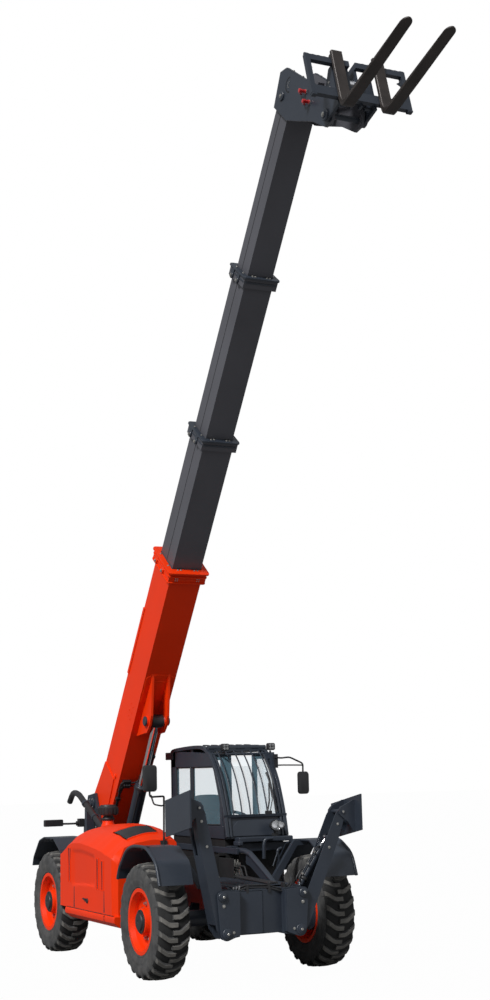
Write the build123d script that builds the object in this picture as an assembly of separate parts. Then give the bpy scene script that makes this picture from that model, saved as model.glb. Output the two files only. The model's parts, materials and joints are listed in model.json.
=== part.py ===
"""Telehandler: rough-terrain machine with a four-piece boom, fork carriage and front stabilisers.

Millimetres.  Front is -Y, the vehicle's left (cab side) is +X, up is +Z.  While the pieces are
drawn the origin is on the ground under the front axle; SHIFT then puts it under the middle of
the whole machine.
"""
import os
from math import atan2, cos, degrees, hypot, radians, sin

from build123d import *

# ---------------------------------------------------------------- overall layout
SHIFT_X, SHIFT_Y = 0.0, 283.0
WHEELBASE = 3100.0
HALF_TRACK = 962.0
KINGPIN_X = 800.0

# ---------------------------------------------------------------- wheels
TYRE_R = 603.0            # over the lugs
LUG_DEPTH = 28.0
TYRE_HALF_W = 190.0
BEAD_R = 322.0
RIM_FLANGE_R = 342.0
RIM_HALF_W = 160.0
RIM_WALL = 12.0
HUB_R = 120.0
AXLE_Z = TYRE_R
LUGS_PER_SIDE = 14
FUNNEL_R = 205.0          # planetary hub on the steering knuckle

# ---------------------------------------------------------------- boom
BOOM_X = -120.0
BOOM_REST_DEG = 52.7
PIVOT_Y, PIVOT_Z = WHEELBASE + 520.0, 1760.0
PIVOT_S, PIVOT_N = -159.0, -246.0      # pivot pin in boom coordinates (along, below the centre line)
PIVOT_R = 45.0
PLATE = 8.0
# section: outer width, outer depth, rear end, front end (along the boom at rest)
SECTIONS = {
    "base": dict(width=400.0, depth=520.0, rear=-330.0, front=3600.0),
    "2": dict(width=366.0, depth=420.0, rear=1850.0, front=5290.0),
    "3": dict(width=332.0, depth=368.0, rear=3800.0, front=7235.0),
    "4": dict(width=298.0, depth=318.0, rear=5550.0, front=9300.0),
}
COLLAR_LEN = 110.0
COLLAR_LIP = 34.0
PAD_LEN = 90.0            # wear pads between nested sections
RUN = 0.3                 # running clearance at pads, eyes and hubs

# lift cylinder: foot pin on the chassis, eye pin in boom coordinates
LIFT_FOOT = (PIVOT_Y - 420.0, 950.0)
LIFT_EYE_S, LIFT_EYE_N = 1620.0, 450.0
LIFT_BARREL_R, LIFT_ROD_R, LIFT_BARREL_LEN = 78.0, 45.0, 1240.0
LIFT_EYE_HALF = 92.0
LIFT_PISTON = 860.0       # from the foot pin to the rod's inner end, at rest

# carriage, at rest
CARRIAGE_X = -80.0
CARRIAGE_TILT_DEG = 15.4
CARRIAGE_PIN_S, CARRIAGE_PIN_N = 9255.0, 1120.0     # hinge pin, in boom coordinates
CARRIAGE_W = 1110.0
CARRIAGE_H = 508.0
CARRIAGE_BACK = 255.0     # from the hinge pin to the back of the bars
TILT_BASE_S, TILT_BASE_N = 9122.7, -78.5
TILT_ARM = 320.0
TILT_ARM_DEG = 112.0      # direction of the cylinder pin from the hinge pin, from +Y
TILT_BARREL_R, TILT_ROD_R, TILT_BARREL_LEN = 55.0, 30.0, 760.0
TILT_EYE_HALF, TILT_PISTON = 34.0, 420.0
FORK_LEN, FORK_W, FORK_T = 1246.0, 120.0, 45.0
FORK_OFFSETS = (-216.0, 243.0)
FORK_TOP = -120.0         # blade top above the hinge pin, carriage upright

# stabilisers
STAB_X, STAB_Y = -140.0, -785.0
STAB_PIVOT = (417.0, 520.0)           # from the centre plane, height
STAB_CYL = (460.0, 885.0)
LEG_LEN = 1290.0
LEG_LEAN_DEG = {1: 25.0, -1: 12.5}     # raised leg from upright, left and right
LEG_CYL_AT, LEG_CYL_OFF = 1000.0, 0.0
LEG_Y = (-140.0, 70.0)                # front and back of the leg box, from STAB_Y
FOOT_Y = (-290.0, 370.0)
FOOT_H, FOOT_OUT = 187.0, 142.0
FOOT_SKEW = (-5.0, -115.0)            # height of the sole's front and back edge from its pin
STAB_BARREL_R, STAB_ROD_R, STAB_BARREL_LEN = 34.0, 20.0, 575.0
STAB_EYE_HALF = 26.0

# chassis
RAIL_X, RAIL_T = 400.0, 25.0
FRAME_Z = (480.0, 950.0)
TOWER_IN, TOWER_T = 222.0, 30.0

# cab and hood
CAB_X = (185.0, 960.0)
CAB_Y = (560.0, WHEELBASE - 770.0)
CAB_WALL = 45.0
ROOF_Z = 2420.0
HOOD_X = (-1155.0, -RAIL_X)
HOOD_Y = (TYRE_R + 112.0, WHEELBASE - TYRE_R - 172.0)
HOOD_CORNER = 110.0
BONNET_REAR = WHEELBASE - 520.0
# fender side view: distance from the axle (rear positive) and height
FENDER_OUTLINE = [(610.0, 1010.0), (560.0, 1120.0), (330.0, 1330.0), (130.0, 1376.0),
                  (-240.0, 1376.0), (-520.0, 1230.0), (-612.0, 1000.0)]
FENDER_ROUND = 110.0


# ---------------------------------------------------------------- shape helpers
def block(x, y, z):
    """Box from three (low, high) pairs."""
    return Pos((x[0] + x[1]) / 2, (y[0] + y[1]) / 2, (z[0] + z[1]) / 2) * Box(
        x[1] - x[0], y[1] - y[0], z[1] - z[0])


def bar(p, q, radius, inner=0.0):
    """Round bar or tube from p to q."""
    p, q = Vector(*p), Vector(*q)
    plane = Plane(origin=p, z_dir=q - p)
    sk = Circle(radius) if not inner else Circle(radius) - Circle(inner)
    return extrude(plane * sk, (q - p).length)


def pin_x(x0, x1, y, z, radius, inner=0.0):
    return bar((x0, y, z), (x1, y, z), radius, inner)


def pin_y(x, z, y0, y1, radius, inner=0.0):
    return bar((x, y0, z), (x, y1, z), radius, inner)


def slab_x(points, x0, x1, holes=()):
    """Plate drawn as (y, z) corners, from x0 to x1, with (y, z, radius) holes."""
    sk = make_face(Polyline(*[(0, y, z) for y, z in points], close=True).edges())
    solid = extrude(Pos(x0, 0, 0) * sk, x1 - x0, dir=(1, 0, 0))
    for y, z, r in holes:
        solid -= pin_x(x0 - 1, x1 + 1, y, z, r)
    return solid


def to_x(face, x0, x1):
    """A face drawn in (y, z) as X and Y, stood up and extruded along X."""
    solid = extrude(face, amount=x1 - x0)
    return Pos(x0, 0, 0) * (Rot(0, 90, 0) * (Rot(0, 0, 90) * solid))


def slab_y(points, y0, y1, holes=()):
    """Plate drawn as (x, z) corners, from y0 to y1, with (x, z, radius) holes."""
    sk = make_face(Polyline(*[(x, 0, z) for x, z in points], close=True).edges())
    solid = extrude(Pos(0, y0, 0) * sk, y1 - y0, dir=(0, 1, 0))
    for x, z, r in holes:
        solid -= pin_y(x, z, y0 - 1, y1 + 1, r)
    return solid


def slab_z(points, z0, z1):
    sk = make_face(Polyline(*[(x, y, 0) for x, y in points], close=True).edges())
    return extrude(Pos(0, 0, z0) * sk, z1 - z0, dir=(0, 0, 1))


def lobe(p, q, rp, rq):
    """Corners of a link outline round two points p and q, as a polygon of short facets."""
    ang = atan2(q[1] - p[1], q[0] - p[0])
    pts = []
    for k in range(7):
        a = ang + radians(90 + 30 * k)
        pts.append((p[0] + rp * cos(a), p[1] + rp * sin(a)))
    for k in range(7):
        a = ang + radians(-90 + 30 * k)
        pts.append((q[0] + rq * cos(a), q[1] + rq * sin(a)))
    return pts


def fuse(*solids):
    out = solids[0]
    for s in solids[1:]:
        out = out + s
    return out


# ---------------------------------------------------------------- boom coordinates
BOOM_A = radians(BOOM_REST_DEG)


def boom_yz(s, n):
    """(y, z) of a point s along the boom and n below its centre line, boom at rest."""
    ds, dn = s - PIVOT_S, n - PIVOT_N
    return (PIVOT_Y - ds * cos(BOOM_A) - dn * sin(BOOM_A),
            PIVOT_Z + ds * sin(BOOM_A) - dn * cos(BOOM_A))


def carriage_pin():
    return boom_yz(CARRIAGE_PIN_S, CARRIAGE_PIN_N)


def tilt_base():
    return boom_yz(TILT_BASE_S, TILT_BASE_N)


def boom_box(width, depth, s0, s1, n_mid=0.0, x_mid=BOOM_X):
    pts = [boom_yz(s, n) for s, n in ((s0, n_mid - depth / 2), (s1, n_mid - depth / 2),
                                      (s1, n_mid + depth / 2), (s0, n_mid + depth / 2))]
    return slab_x(pts, x_mid - width / 2, x_mid + width / 2)


def boom_plate(sn_points, x0, x1, holes=()):
    return slab_x([boom_yz(s, n) for s, n in sn_points], x0, x1,
                  [(*boom_yz(s, n), r) for s, n, r in holes])


def boom_tube(sec):
    outer = boom_box(sec["width"], sec["depth"], sec["rear"], sec["front"])
    inner = boom_box(sec["width"] - 2 * PLATE, sec["depth"] - 2 * PLATE,
                     sec["rear"] - 10, sec["front"] + 10)
    return outer - inner


def collar(sec, lip=COLLAR_LIP, length=COLLAR_LEN):
    """Wear-pad collar round the front end of a section."""
    s1 = sec["front"]
    outer = boom_box(sec["width"] + 2 * lip, sec["depth"] + 2 * lip, s1 - length, s1)
    inner = boom_box(sec["width"] - 2 * PLATE, sec["depth"] - 2 * PLATE,
                     s1 - length - 10, s1 + 10)
    return outer - inner


def wear_pads(outer_size, inner_size, s0, s1):
    """Four pads filling the gap between two box sizes (width, depth), as one ring of blocks."""
    (wo, do), (wi, di) = outer_size, inner_size
    t = (do - di) / 2
    pads = [boom_box(wi * 0.8, t, s0, s1, n_mid=k * (di + t) / 2) for k in (-1, 1)]
    t = (wo - wi) / 2
    pads += [boom_box(t, di * 0.6, s0, s1, x_mid=BOOM_X + k * (wi + t) / 2) for k in (-1, 1)]
    return pads


def add_pads(body, key):
    """Front pads inside a section's collar and rear pads round its own tail."""
    keys = list(SECTIONS)
    sec, k = SECTIONS[key], keys.index(key)
    hole = (sec["width"] - 2 * PLATE + 1, sec["depth"] - 2 * PLATE + 1)
    if k + 1 < len(keys):
        nxt = SECTIONS[keys[k + 1]]
        for pad in wear_pads(hole, (nxt["width"] + 2 * RUN, nxt["depth"] + 2 * RUN),
                             sec["front"] - PAD_LEN, sec["front"]):
            body = body + pad
    if k > 0:
        out = SECTIONS[keys[k - 1]]
        room = (out["width"] - 2 * PLATE - 2 * RUN, out["depth"] - 2 * PLATE - 2 * RUN)
        for pad in wear_pads(room, (sec["width"] - 1, sec["depth"] - 1),
                             sec["rear"], sec["rear"] + PAD_LEN):
            body = body + pad
    return body


def boom_base():
    sec = SECTIONS["base"]
    half = sec["width"] / 2
    body = boom_tube(sec) + collar(sec)
    # closed rear end and the pivot boss between the foot plates
    end = boom_box(sec["width"], sec["depth"], sec["rear"] - 15, sec["rear"])
    body = body + end
    for side in (-1, 1):
        x0, x1 = sorted((BOOM_X + side * half, BOOM_X + side * (half + 14)))
        foot = boom_plate([(-345, -200), (-280, -330), (-60, -340), (500, -255), (500, 120),
                           (-345, 200)], x0, x1)
        body = body + foot
    py, pz = boom_yz(PIVOT_S, PIVOT_N)
    body = body + pin_x(BOOM_X - half - 14, BOOM_X + half + 14, py, pz, 85)
    body = body - pin_x(BOOM_X - half - 20, BOOM_X + half + 20, py, pz, PIVOT_R + 0.3)
    # lift cylinder lug under the boom
    for side in (-1, 1):
        x0, x1 = sorted((BOOM_X + side * (LIFT_EYE_HALF + RUN), BOOM_X + side * 120))
        lug = boom_plate([(1260, sec["depth"] / 2 - 4), (2180, sec["depth"] / 2 - 4),
                          (1740, LIFT_EYE_N + 70), (LIFT_EYE_S, LIFT_EYE_N + 92),
                          (1500, LIFT_EYE_N + 70)], x0, x1)
        ey, ez = boom_yz(LIFT_EYE_S, LIFT_EYE_N)
        x0, x1 = sorted((BOOM_X + side * 120, BOOM_X + side * 140))
        body = body + lug + pin_x(x0, x1, ey, ez, 62)
    return add_pads(body, "base")


def boom_section(key):
    sec = SECTIONS[key]
    body = boom_tube(sec)
    if key != "4":
        body = body + collar(sec)
    return add_pads(body, key)


HEAD_X = (178.0, 24.0)      # head plate offset from the boom centre and its thickness


def boom_head():
    """Side plates of the boom head with the carriage hinge and tilt cylinder pins."""
    sec = SECTIONS["4"]
    outline = [(9000, -175), (9360, -230), (9430, -120), (9440, 600), (9400, 960),
               (9350, 1170), (9230, 1215), (9135, 1110), (9110, 800), (9020, 450), (8960, 200)]
    out = None
    hs, hn = CARRIAGE_PIN_S, CARRIAGE_PIN_N
    for side in (-1, 1):
        x0, x1 = sorted((BOOM_X + side * (sec["width"] / 2), BOOM_X + side * HEAD_X[0]))
        plate = boom_plate(outline, x0, x1, [(hs, hn, 30.3)])
        out = plate if out is None else out + plate
    # cross plates join the two cheeks below the boom
    out = out + boom_box(sec["width"] + 2, 30, 9060, 9400, n_mid=sec["depth"] / 2 + 15)
    out = out + boom_box(sec["width"] + 2, 300, 9190, 9215, n_mid=520)
    return out


def section_4():
    body = boom_section("4") + boom_head()
    # slot for the tilt cylinder through the floor and cross plates
    body = body - boom_box(156, 620, 8985, 9480, n_mid=300)
    by, bz = tilt_base()
    # pin stubs of the tilt cylinder on the inner faces of the cheeks
    for side in (-1, 1):
        x0, x1 = sorted((BOOM_X + side * (TILT_EYE_HALF + RUN), BOOM_X + side * 150))
        body = body + pin_x(x0, x1, by, bz, 40)
    return body


# ---------------------------------------------------------------- cylinders
def cylinder_barrel(foot, eye, x_mid, radius, length, bore, half_eye, start, axis="x"):
    """Barrel from its foot eye towards the rod's eye; both given in the swing plane."""
    d = hypot(eye[0] - foot[0], eye[1] - foot[1])
    u = ((eye[0] - foot[0]) / d, (eye[1] - foot[1]) / d)

    def at(t):
        return swing(foot[0] + u[0] * t, foot[1] + u[1] * t, x_mid, axis)

    body = bar(at(start), at(length), radius)
    neck = bar(at(0), at(start + 5), half_eye * 0.85)
    ring = bar(swing(*foot, x_mid - half_eye, axis), swing(*foot, x_mid + half_eye, axis), start * 0.85)
    gland = bar(at(length - 60), at(length), radius + 7)
    body = fuse(body, neck, ring, gland)
    body = body - bar(at(start + 30), at(length + 5), bore)
    return body


def cylinder_rod(foot, eye, x_mid, radius, start, half_eye, eye_r, axis="x"):
    d = hypot(eye[0] - foot[0], eye[1] - foot[1])
    u = ((eye[0] - foot[0]) / d, (eye[1] - foot[1]) / d)

    def at(t):
        return swing(foot[0] + u[0] * t, foot[1] + u[1] * t, x_mid, axis)

    body = bar(at(start), at(d), radius)
    ring = bar(swing(*eye, x_mid - half_eye, axis), swing(*eye, x_mid + half_eye, axis), eye_r)
    return body + ring


def swing(a, b, x_mid, axis):
    return (x_mid, a, b) if axis == "x" else (a, x_mid, b)


def lift_parts():
    eye = boom_yz(LIFT_EYE_S, LIFT_EYE_N)
    barrel = cylinder_barrel(LIFT_FOOT, eye, BOOM_X, LIFT_BARREL_R, LIFT_BARREL_LEN,
                             LIFT_ROD_R + 0.6, LIFT_EYE_HALF, 75)
    rod = cylinder_rod(LIFT_FOOT, eye, BOOM_X, LIFT_ROD_R, LIFT_PISTON, LIFT_EYE_HALF, 62)
    return barrel, rod


def tilt_eye():
    a = radians(TILT_ARM_DEG)
    hy, hz = carriage_pin()
    return (hy + TILT_ARM * cos(a), hz + TILT_ARM * sin(a))


def tilt_parts():
    barrel = cylinder_barrel(tilt_base(), tilt_eye(), BOOM_X, TILT_BARREL_R, TILT_BARREL_LEN,
                             TILT_ROD_R + 0.6, TILT_EYE_HALF, 56)
    rod = cylinder_rod(tilt_base(), tilt_eye(), BOOM_X, TILT_ROD_R, TILT_PISTON, TILT_EYE_HALF, 48)
    return barrel, rod


# ---------------------------------------------------------------- carriage
def carriage_point(back, up):
    """(y, z) of a point of the tilted carriage, from its hinge pin."""
    a = radians(CARRIAGE_TILT_DEG)
    hy, hz = carriage_pin()
    return (hy - back * cos(a) + up * sin(a), hz + back * sin(a) + up * cos(a))


def carriage_slab(points, x0, x1, holes=()):
    return slab_x([carriage_point(b, u) for b, u in points], x0, x1,
                  [(*carriage_point(b, u), r) for b, u, r in holes])


def carriage_frame():
    half = CARRIAGE_W / 2
    f0 = CARRIAGE_BACK
    bars = None
    for u0, u1 in ((-25, 75), (CARRIAGE_H - 125, CARRIAGE_H - 60)):
        piece = carriage_slab([(f0, u0), (f0 + 50, u0), (f0 + 50, u1), (f0, u1)],
                              CARRIAGE_X - half, CARRIAGE_X + half)
        bars = piece if bars is None else bars + piece
    for side in (-1, 1):
        x0, x1 = sorted((CARRIAGE_X + side * (half - 50), CARRIAGE_X + side * half))
        bars = bars + carriage_slab([(f0, -25), (f0 + 50, -25), (f0 + 50, CARRIAGE_H - 60),
                                     (f0, CARRIAGE_H - 60)], x0, x1)
    # hinge ears either side of the boom head
    for side in (-1, 1):
        x0, x1 = sorted((BOOM_X + side * (HEAD_X[0] + 6), BOOM_X + side * (HEAD_X[0] + 36)))
        bars = bars + carriage_slab([(-60, -30), (-20, -65), (f0 + 5, -60), (f0 + 5, 400),
                                     (f0 - 60, 400), (-50, 60)], x0, x1)
    hy, hz = carriage_pin()
    bars = bars + pin_x(BOOM_X - HEAD_X[0] - 50, BOOM_X + HEAD_X[0] + 50, hy, hz, 30)
    # lugs of the tilt cylinder between the ears
    ty, tz = tilt_eye()
    for side in (-1, 1):
        x0, x1 = sorted((BOOM_X + side * (TILT_EYE_HALF + RUN), BOOM_X + side * 60))
        top = CARRIAGE_H - 60
        bars = bars + carriage_slab([(f0 + 5, -50), (f0 + 5, top), (150, top), (95, 330), (110, 240),
                                     (190, 150), (200, -50)], x0, x1)
    # gap of the upper bar for the rod's eye
    u1 = CARRIAGE_H
    return bars - carriage_slab([(f0 - 60, 250), (f0 + 60, 250), (f0 + 60, u1), (f0 - 60, u1)],
                                BOOM_X - TILT_EYE_HALF - RUN, BOOM_X + TILT_EYE_HALF + RUN)


def forks():
    out = []
    f0 = CARRIAGE_BACK + 50
    for off in FORK_OFFSETS:
        x0, x1 = CARRIAGE_X + off - FORK_W / 2, CARRIAGE_X + off + FORK_W / 2
        top = FORK_TOP
        pts = [(f0, top - FORK_T), (f0, CARRIAGE_H + 10), (f0 + 42, CARRIAGE_H + 10),
               (f0 + 42, top + 20), (f0 + 60, top), (f0 + FORK_LEN, top),
               (f0 + FORK_LEN, top - 12), (f0 + 500, top - FORK_T)]
        out.append(carriage_slab(pts, x0, x1))
    return Compound(out)


# ---------------------------------------------------------------- wheels
def tyre(side, y):
    """Tyre with chevron lugs, wheel axis along X."""
    w = TYRE_HALF_W
    base = TYRE_R - LUG_DEPTH
    prof = [(-RIM_HALF_W, BEAD_R), (-RIM_HALF_W, RIM_FLANGE_R + 4), (-w + 8, 400), (-w, 470), (-w + 22, base - 26), (-w + 60, base),
            (w - 60, base), (w - 22, base - 26), (w, 470), (w - 8, 400), (RIM_HALF_W, RIM_FLANGE_R + 4), (RIM_HALF_W, BEAD_R)]
    sk = make_face(Polyline(*[(x, r, 0) for x, r in prof], close=True).edges())
    ring = revolve(sk, Axis.X)
    lugs = []
    pitch = 360.0 / LUGS_PER_SIDE
    for half in (-1, 1):
        for k in range(LUGS_PER_SIDE):
            a = k * pitch + (pitch / 2 if half > 0 else 0)
            pts = [(0, -34), (0, 22), (half * (w - 24), 62), (half * (w - 24), 2)]
            pts = [(half * 6 + p[0], p[1]) for p in pts]
            lug = slab_z(pts, base - 30, TYRE_R)
            lugs.append(Rot(a, 0, 0) * lug)
    trim = Rot(0, 90, 0) * (Cylinder(TYRE_R, 2 * w))
    body = ring
    for lug in lugs:
        body = body + (lug & trim)
    return Pos(side * HALF_TRACK, y, AXLE_Z) * body


def rim(side, y):
    """Rim barrel with its disc near the outer face and the hub cap."""
    o = side
    def X(v):
        return o * v
    prof = [(X(-RIM_HALF_W - 4), RIM_FLANGE_R), (X(-RIM_HALF_W - 4), RIM_FLANGE_R - 30),
            (X(-120), BEAD_R - 42), (X(95), BEAD_R - 42), (X(70), 250), (X(60), 150), (X(105), HUB_R),
            (X(150), HUB_R - 15), (X(150), 0.0), (X(100), 0.0), (X(88), 100), (X(40), 150),
            (X(48), 250), (X(78), BEAD_R - 30)]
    # closed ring profile of the barrel and disc
    outer = [(X(-RIM_HALF_W - 4), RIM_FLANGE_R), (X(-RIM_HALF_W + 0), RIM_FLANGE_R),
             (X(-RIM_HALF_W + 0), BEAD_R), (X(-100), BEAD_R - 24), (X(110), BEAD_R - 24),
             (X(RIM_HALF_W), BEAD_R), (X(RIM_HALF_W), RIM_FLANGE_R),
             (X(RIM_HALF_W + 10), RIM_FLANGE_R), (X(RIM_HALF_W + 10), BEAD_R - 18),
             (X(118), BEAD_R - 40), (X(80), BEAD_R - 46), (X(66), 240), (X(66), HUB_R + 30),
             (X(150), HUB_R + 12), (X(158), HUB_R), (X(158), 0), (X(30), 0), (X(30), 225),
             (X(50), BEAD_R - 46), (X(-104), BEAD_R - 42), (X(-RIM_HALF_W - 4), BEAD_R - 18)]
    sk = make_face(Polyline(*[(x, r, 0) for x, r in outer], close=True).edges())
    body = revolve(sk, Axis.X)
    return Pos(side * HALF_TRACK, y, AXLE_Z) * body


def knuckle(side, y):
    """Steering knuckle with its planetary hub inside the rim."""
    x_out = side * (HALF_TRACK + 30 - RUN)
    hub = pin_x(side * (KINGPIN_X + 60), x_out, y, AXLE_Z, FUNNEL_R)
    neck = pin_x(side * (KINGPIN_X - 70), side * (KINGPIN_X + 62), y, AXLE_Z, 80)
    half = 110 - RUN
    yoke = bar((side * KINGPIN_X, y, AXLE_Z - half), (side * KINGPIN_X, y, AXLE_Z + half), 50)
    return fuse(hub, neck, yoke)


def axle(y_at):
    y = 0.0
    tube = pin_x(-(KINGPIN_X - 110), KINGPIN_X - 110, y, AXLE_Z, 85)
    body = tube + pin_x(-150, 150, y, AXLE_Z, 150) + pin_x(-80, 80, y, AXLE_Z, 190)
    for side in (-1, 1):
        # fork of the steering yoke, above and below the knuckle
        x0, x1 = sorted((side * (KINGPIN_X - 150), side * (KINGPIN_X - 105)))
        body = body + block((x0, x1), (y - 60, y + 60), (AXLE_Z - 165, AXLE_Z + 165))
        x0, x1 = sorted((side * (KINGPIN_X - 110), side * (KINGPIN_X + 28)))
        for z0 in (AXLE_Z + 110, AXLE_Z - 165):
            body = body + block((x0, x1), (y - 42, y + 42), (z0, z0 + 55))
        x0, x1 = sorted((side * (RAIL_X - RAIL_T), side * RAIL_X))
        body = body + block((x0, x1), (y - 110, y + 110), (AXLE_Z + 50, FRAME_ARCH_Z))
    return Pos(0, y_at, 0) * body


# ---------------------------------------------------------------- chassis
FRAME_ARCH_Z = 740.0
FRAME_REAR = WHEELBASE + 850.0


def chassis():
    z0, z1 = FRAME_Z
    wb, rear, nose = WHEELBASE, FRAME_REAR, STAB_Y + 80
    side_pts = [(nose, z0), (-430, z0), (-330, FRAME_ARCH_Z), (330, FRAME_ARCH_Z), (520, z0),
                (wb - 540, z0), (wb - 350, FRAME_ARCH_Z), (wb + 360, FRAME_ARCH_Z), (wb + 520, z0 + 40),
                (rear - 30, z0 + 40), (rear, 700), (rear, z1), (nose + 80, z1), (nose, z1 - 60)]
    body = None
    for side in (-1, 1):
        x0, x1 = sorted((side * (RAIL_X - RAIL_T), side * RAIL_X))
        rail = slab_x(side_pts, x0, x1)
        body = rail if body is None else body + rail
    w = RAIL_X - RAIL_T + 1
    for y, z in (((nose, nose + 30), (z0, z1 - 60)), ((450, 480), (z0 + 20, z1 - 130)),
                 ((wb - 510, wb - 480), (z0 + 20, 800)), ((rear - 25, rear), (560, z1)),
                 ((1300, 1330), (z0, 800))):
        body = body + block((-w, w), y, z)
    body = body + block((-w, w), (nose + 20, 480), (z1 - 150, z1 - 130))
    body = body + block((-w, w), (1300, wb - 490), (z0, z0 + 16))
    # boom towers, shaped round the boom pivot
    py, pz = PIVOT_Y, PIVOT_Z
    low = z1 - 170
    for side in (-1, 1):
        x0, x1 = sorted((BOOM_X + side * TOWER_IN, BOOM_X + side * (TOWER_IN + TOWER_T)))
        pts = [(py - 720, low), (py + 320, low), (py + 380, pz - 700), (py + 340, pz - 260),
               (py + 170, pz + 100), (py - 100, pz + 130), (py - 290, pz - 260), (py - 720, z1 + 100)]
        body = body + slab_x(pts, x0, x1, [(LIFT_FOOT[0], LIFT_FOOT[1], 36)])
        # gussets out to the rail
        g0, g1 = sorted((BOOM_X + side * (TOWER_IN + TOWER_T - 1), side * (RAIL_X - 1)))
        for y in (py - 120, py - 700):
            body = body + block((g0, g1), (y, y + 30), (low + 10, z1 - 5))
        body = body + block((g0, g1), (py - 700, py + 280), (z1 - 20, z1 - 4))
    body = body + block((BOOM_X - TOWER_IN - 1, BOOM_X + TOWER_IN + 1), (py + 320, py + 345),
                        (z1 - 10, pz - 310))
    # pivot pin, and the pin stubs of the lift cylinder
    reach = TOWER_IN + TOWER_T + 14
    body = body + pin_x(BOOM_X - reach, BOOM_X + reach, PIVOT_Y, PIVOT_Z, PIVOT_R)
    for side in (-1, 1):
        x0, x1 = sorted((BOOM_X + side * (LIFT_EYE_HALF + RUN),
                         BOOM_X + side * (TOWER_IN + TOWER_T + 8)))
        body = body + pin_x(x0, x1, *LIFT_FOOT, 36)
    return body


def engine():
    return block((HOOD_X[0] + 190, HOOD_X[1] - 160), (HOOD_Y[0] + 450, HOOD_Y[1] - 180), (FRAME_Z[0] + 14, 1160))


def hood():
    """Engine pod: lower box with a faceted bonnet that runs on over the rear wheel."""
    x0, x1 = HOOD_X
    y0, y1 = HOOD_Y
    t = 14
    sill, waist, top = FRAME_Z[0], 1225, 1530
    shell = [(x0, sill), (x0, waist), (-1000, 1400), (-560, top), (x1, top), (x1, sill)]
    room = [(x0 + t, sill + t), (x0 + t, waist - 4), (-1000 + 5, 1400 - t), (-560, top - t),
            (x1 - t, top - t), (x1 - t, sill + t)]
    over = [(x0, waist), (-1000, 1400), (-560, top), (x1, top), (x1, waist)]
    over_room = [(x0 + 2 * t, waist + t), (-1000 + 5, 1400 - t), (-560, top - t), (x1 - t, top - t),
                 (x1 - t, waist + t)]
    body = slab_y(shell, y0, y1) + slab_y(over, y1 - 1, BONNET_REAR)
    body = body - slab_y(room, y0 + t, y1 - t) - slab_y(over_room, y1 - t - 1, BONNET_REAR - t)
    # outer front corner cut back, from the sill to the bonnet
    cut = HOOD_CORNER
    body = body - slab_z([(x0 - 5, y0 - 5), (x0 + cut + 5, y0 - 5), (x0 - 5, y0 + cut + 5)], sill - 5, top + 5)
    wall = slab_z([(x0 + cut, y0), (x0, y0 + cut), (x0 + t, y0 + cut + 6), (x0 + cut + 6, y0 + t)], sill, waist)
    body = body + wall
    # the bonnet slopes down to the nose
    body = body - slab_x([(y0 - 5, waist), (y0 - 5, top + 5), (y0 + 430, top + 5), (y0 + 60, waist + 60)],
                         x0 - 5, x1 + 5)
    nose = [(y0, waist - 2), (y0 + t, waist - 2), (y0 + 60 + t, waist + 60), (y0 + 430 + t, top),
            (y0 + 420, top), (y0 + 60, waist + 60)]
    skin = slab_x(nose, x0, x1) & slab_y(shell, y0, y1)
    grille = block((x0 + 60, x1 - 60), (y0 - 14, y0 + 1), (650, 1150))
    return body + skin + grille


def fender(side, y):
    """Wheel arch with rounded corners, on an arm that comes out of the frame."""
    x0, x1 = sorted((side * 770, side * 1150))

    def arch(points, radius):
        face = make_face(Polyline(*[(y + a, z, 0) for a, z in points], close=True).edges())
        return fillet([v for v in face.vertices() if v.Y > points[0][1] + 5], radius)

    low = FENDER_OUTLINE[0][1] + 1
    inner = [(a * 0.973, z - 14 if z > low else z - 40) for a, z in FENDER_OUTLINE]
    skin = to_x(arch(FENDER_OUTLINE, FENDER_ROUND), x0, x1) - to_x(arch(inner, FENDER_ROUND - 14), x0 - 5, x1 + 5)
    crown = FENDER_OUTLINE[3][1] - 8
    arm = slab_y([(side * RAIL_X, 900), (side * (RAIL_X + 60), 900), (side * 735, crown - 60),
                  (side * 1100, crown - 30), (side * 1100, crown), (side * 700, crown),
                  (side * RAIL_X, 948)], y - 25, y + 25)
    return skin + arm


def fenders():
    return [fender(side, y) for y in (0.0, WHEELBASE) for side in (-1, 1)]


# ---------------------------------------------------------------- cab
def cab_outline():
    """Side view (y, z) of the cab shell."""
    y0, y1 = CAB_Y
    return [(y0 + 190, 640), (y0 + 190, 1330), (y0, 1400), (y0 - 30, 1640), (y0 + 150, ROOF_Z - 40),
            (y0 + 230, ROOF_Z), (y1 - 110, ROOF_Z), (y1, ROOF_Z - 60), (y1, 960), (y1 - 180, 640)]


def cab_inner():
    y0, y1 = CAB_Y
    t = CAB_WALL
    return [(y0 + 190 + t, 640 + t), (y0 + 190 + t, 1330 + t), (y0 + t, 1400 + t),
            (y0 - 30 + t, 1640), (y0 + 150 + t, ROOF_Z - 40 - t), (y0 + 230 + t, ROOF_Z - t),
            (y1 - 110 - t, ROOF_Z - t), (y1 - t, ROOF_Z - 60 - t), (y1 - t, 960 + t),
            (y1 - 180 - t, 640 + t)]


HINGE_X, HINGE_Y, HINGE_Z = CAB_X[1] + 14.0, 1500.0, (900.0, 2150.0)
SIDE_WINDOWS = (
    [(830, 1560), (1500, 1500), (1500, 2330), (960, 2330)],
    [(1570, 1500), (2240, 1500), (2240, 2330), (1570, 2330)],
)
DOOR = [(800, 700), (1500, 700), (1500, 2350), (950, 2350), (800, 1560)]


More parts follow.
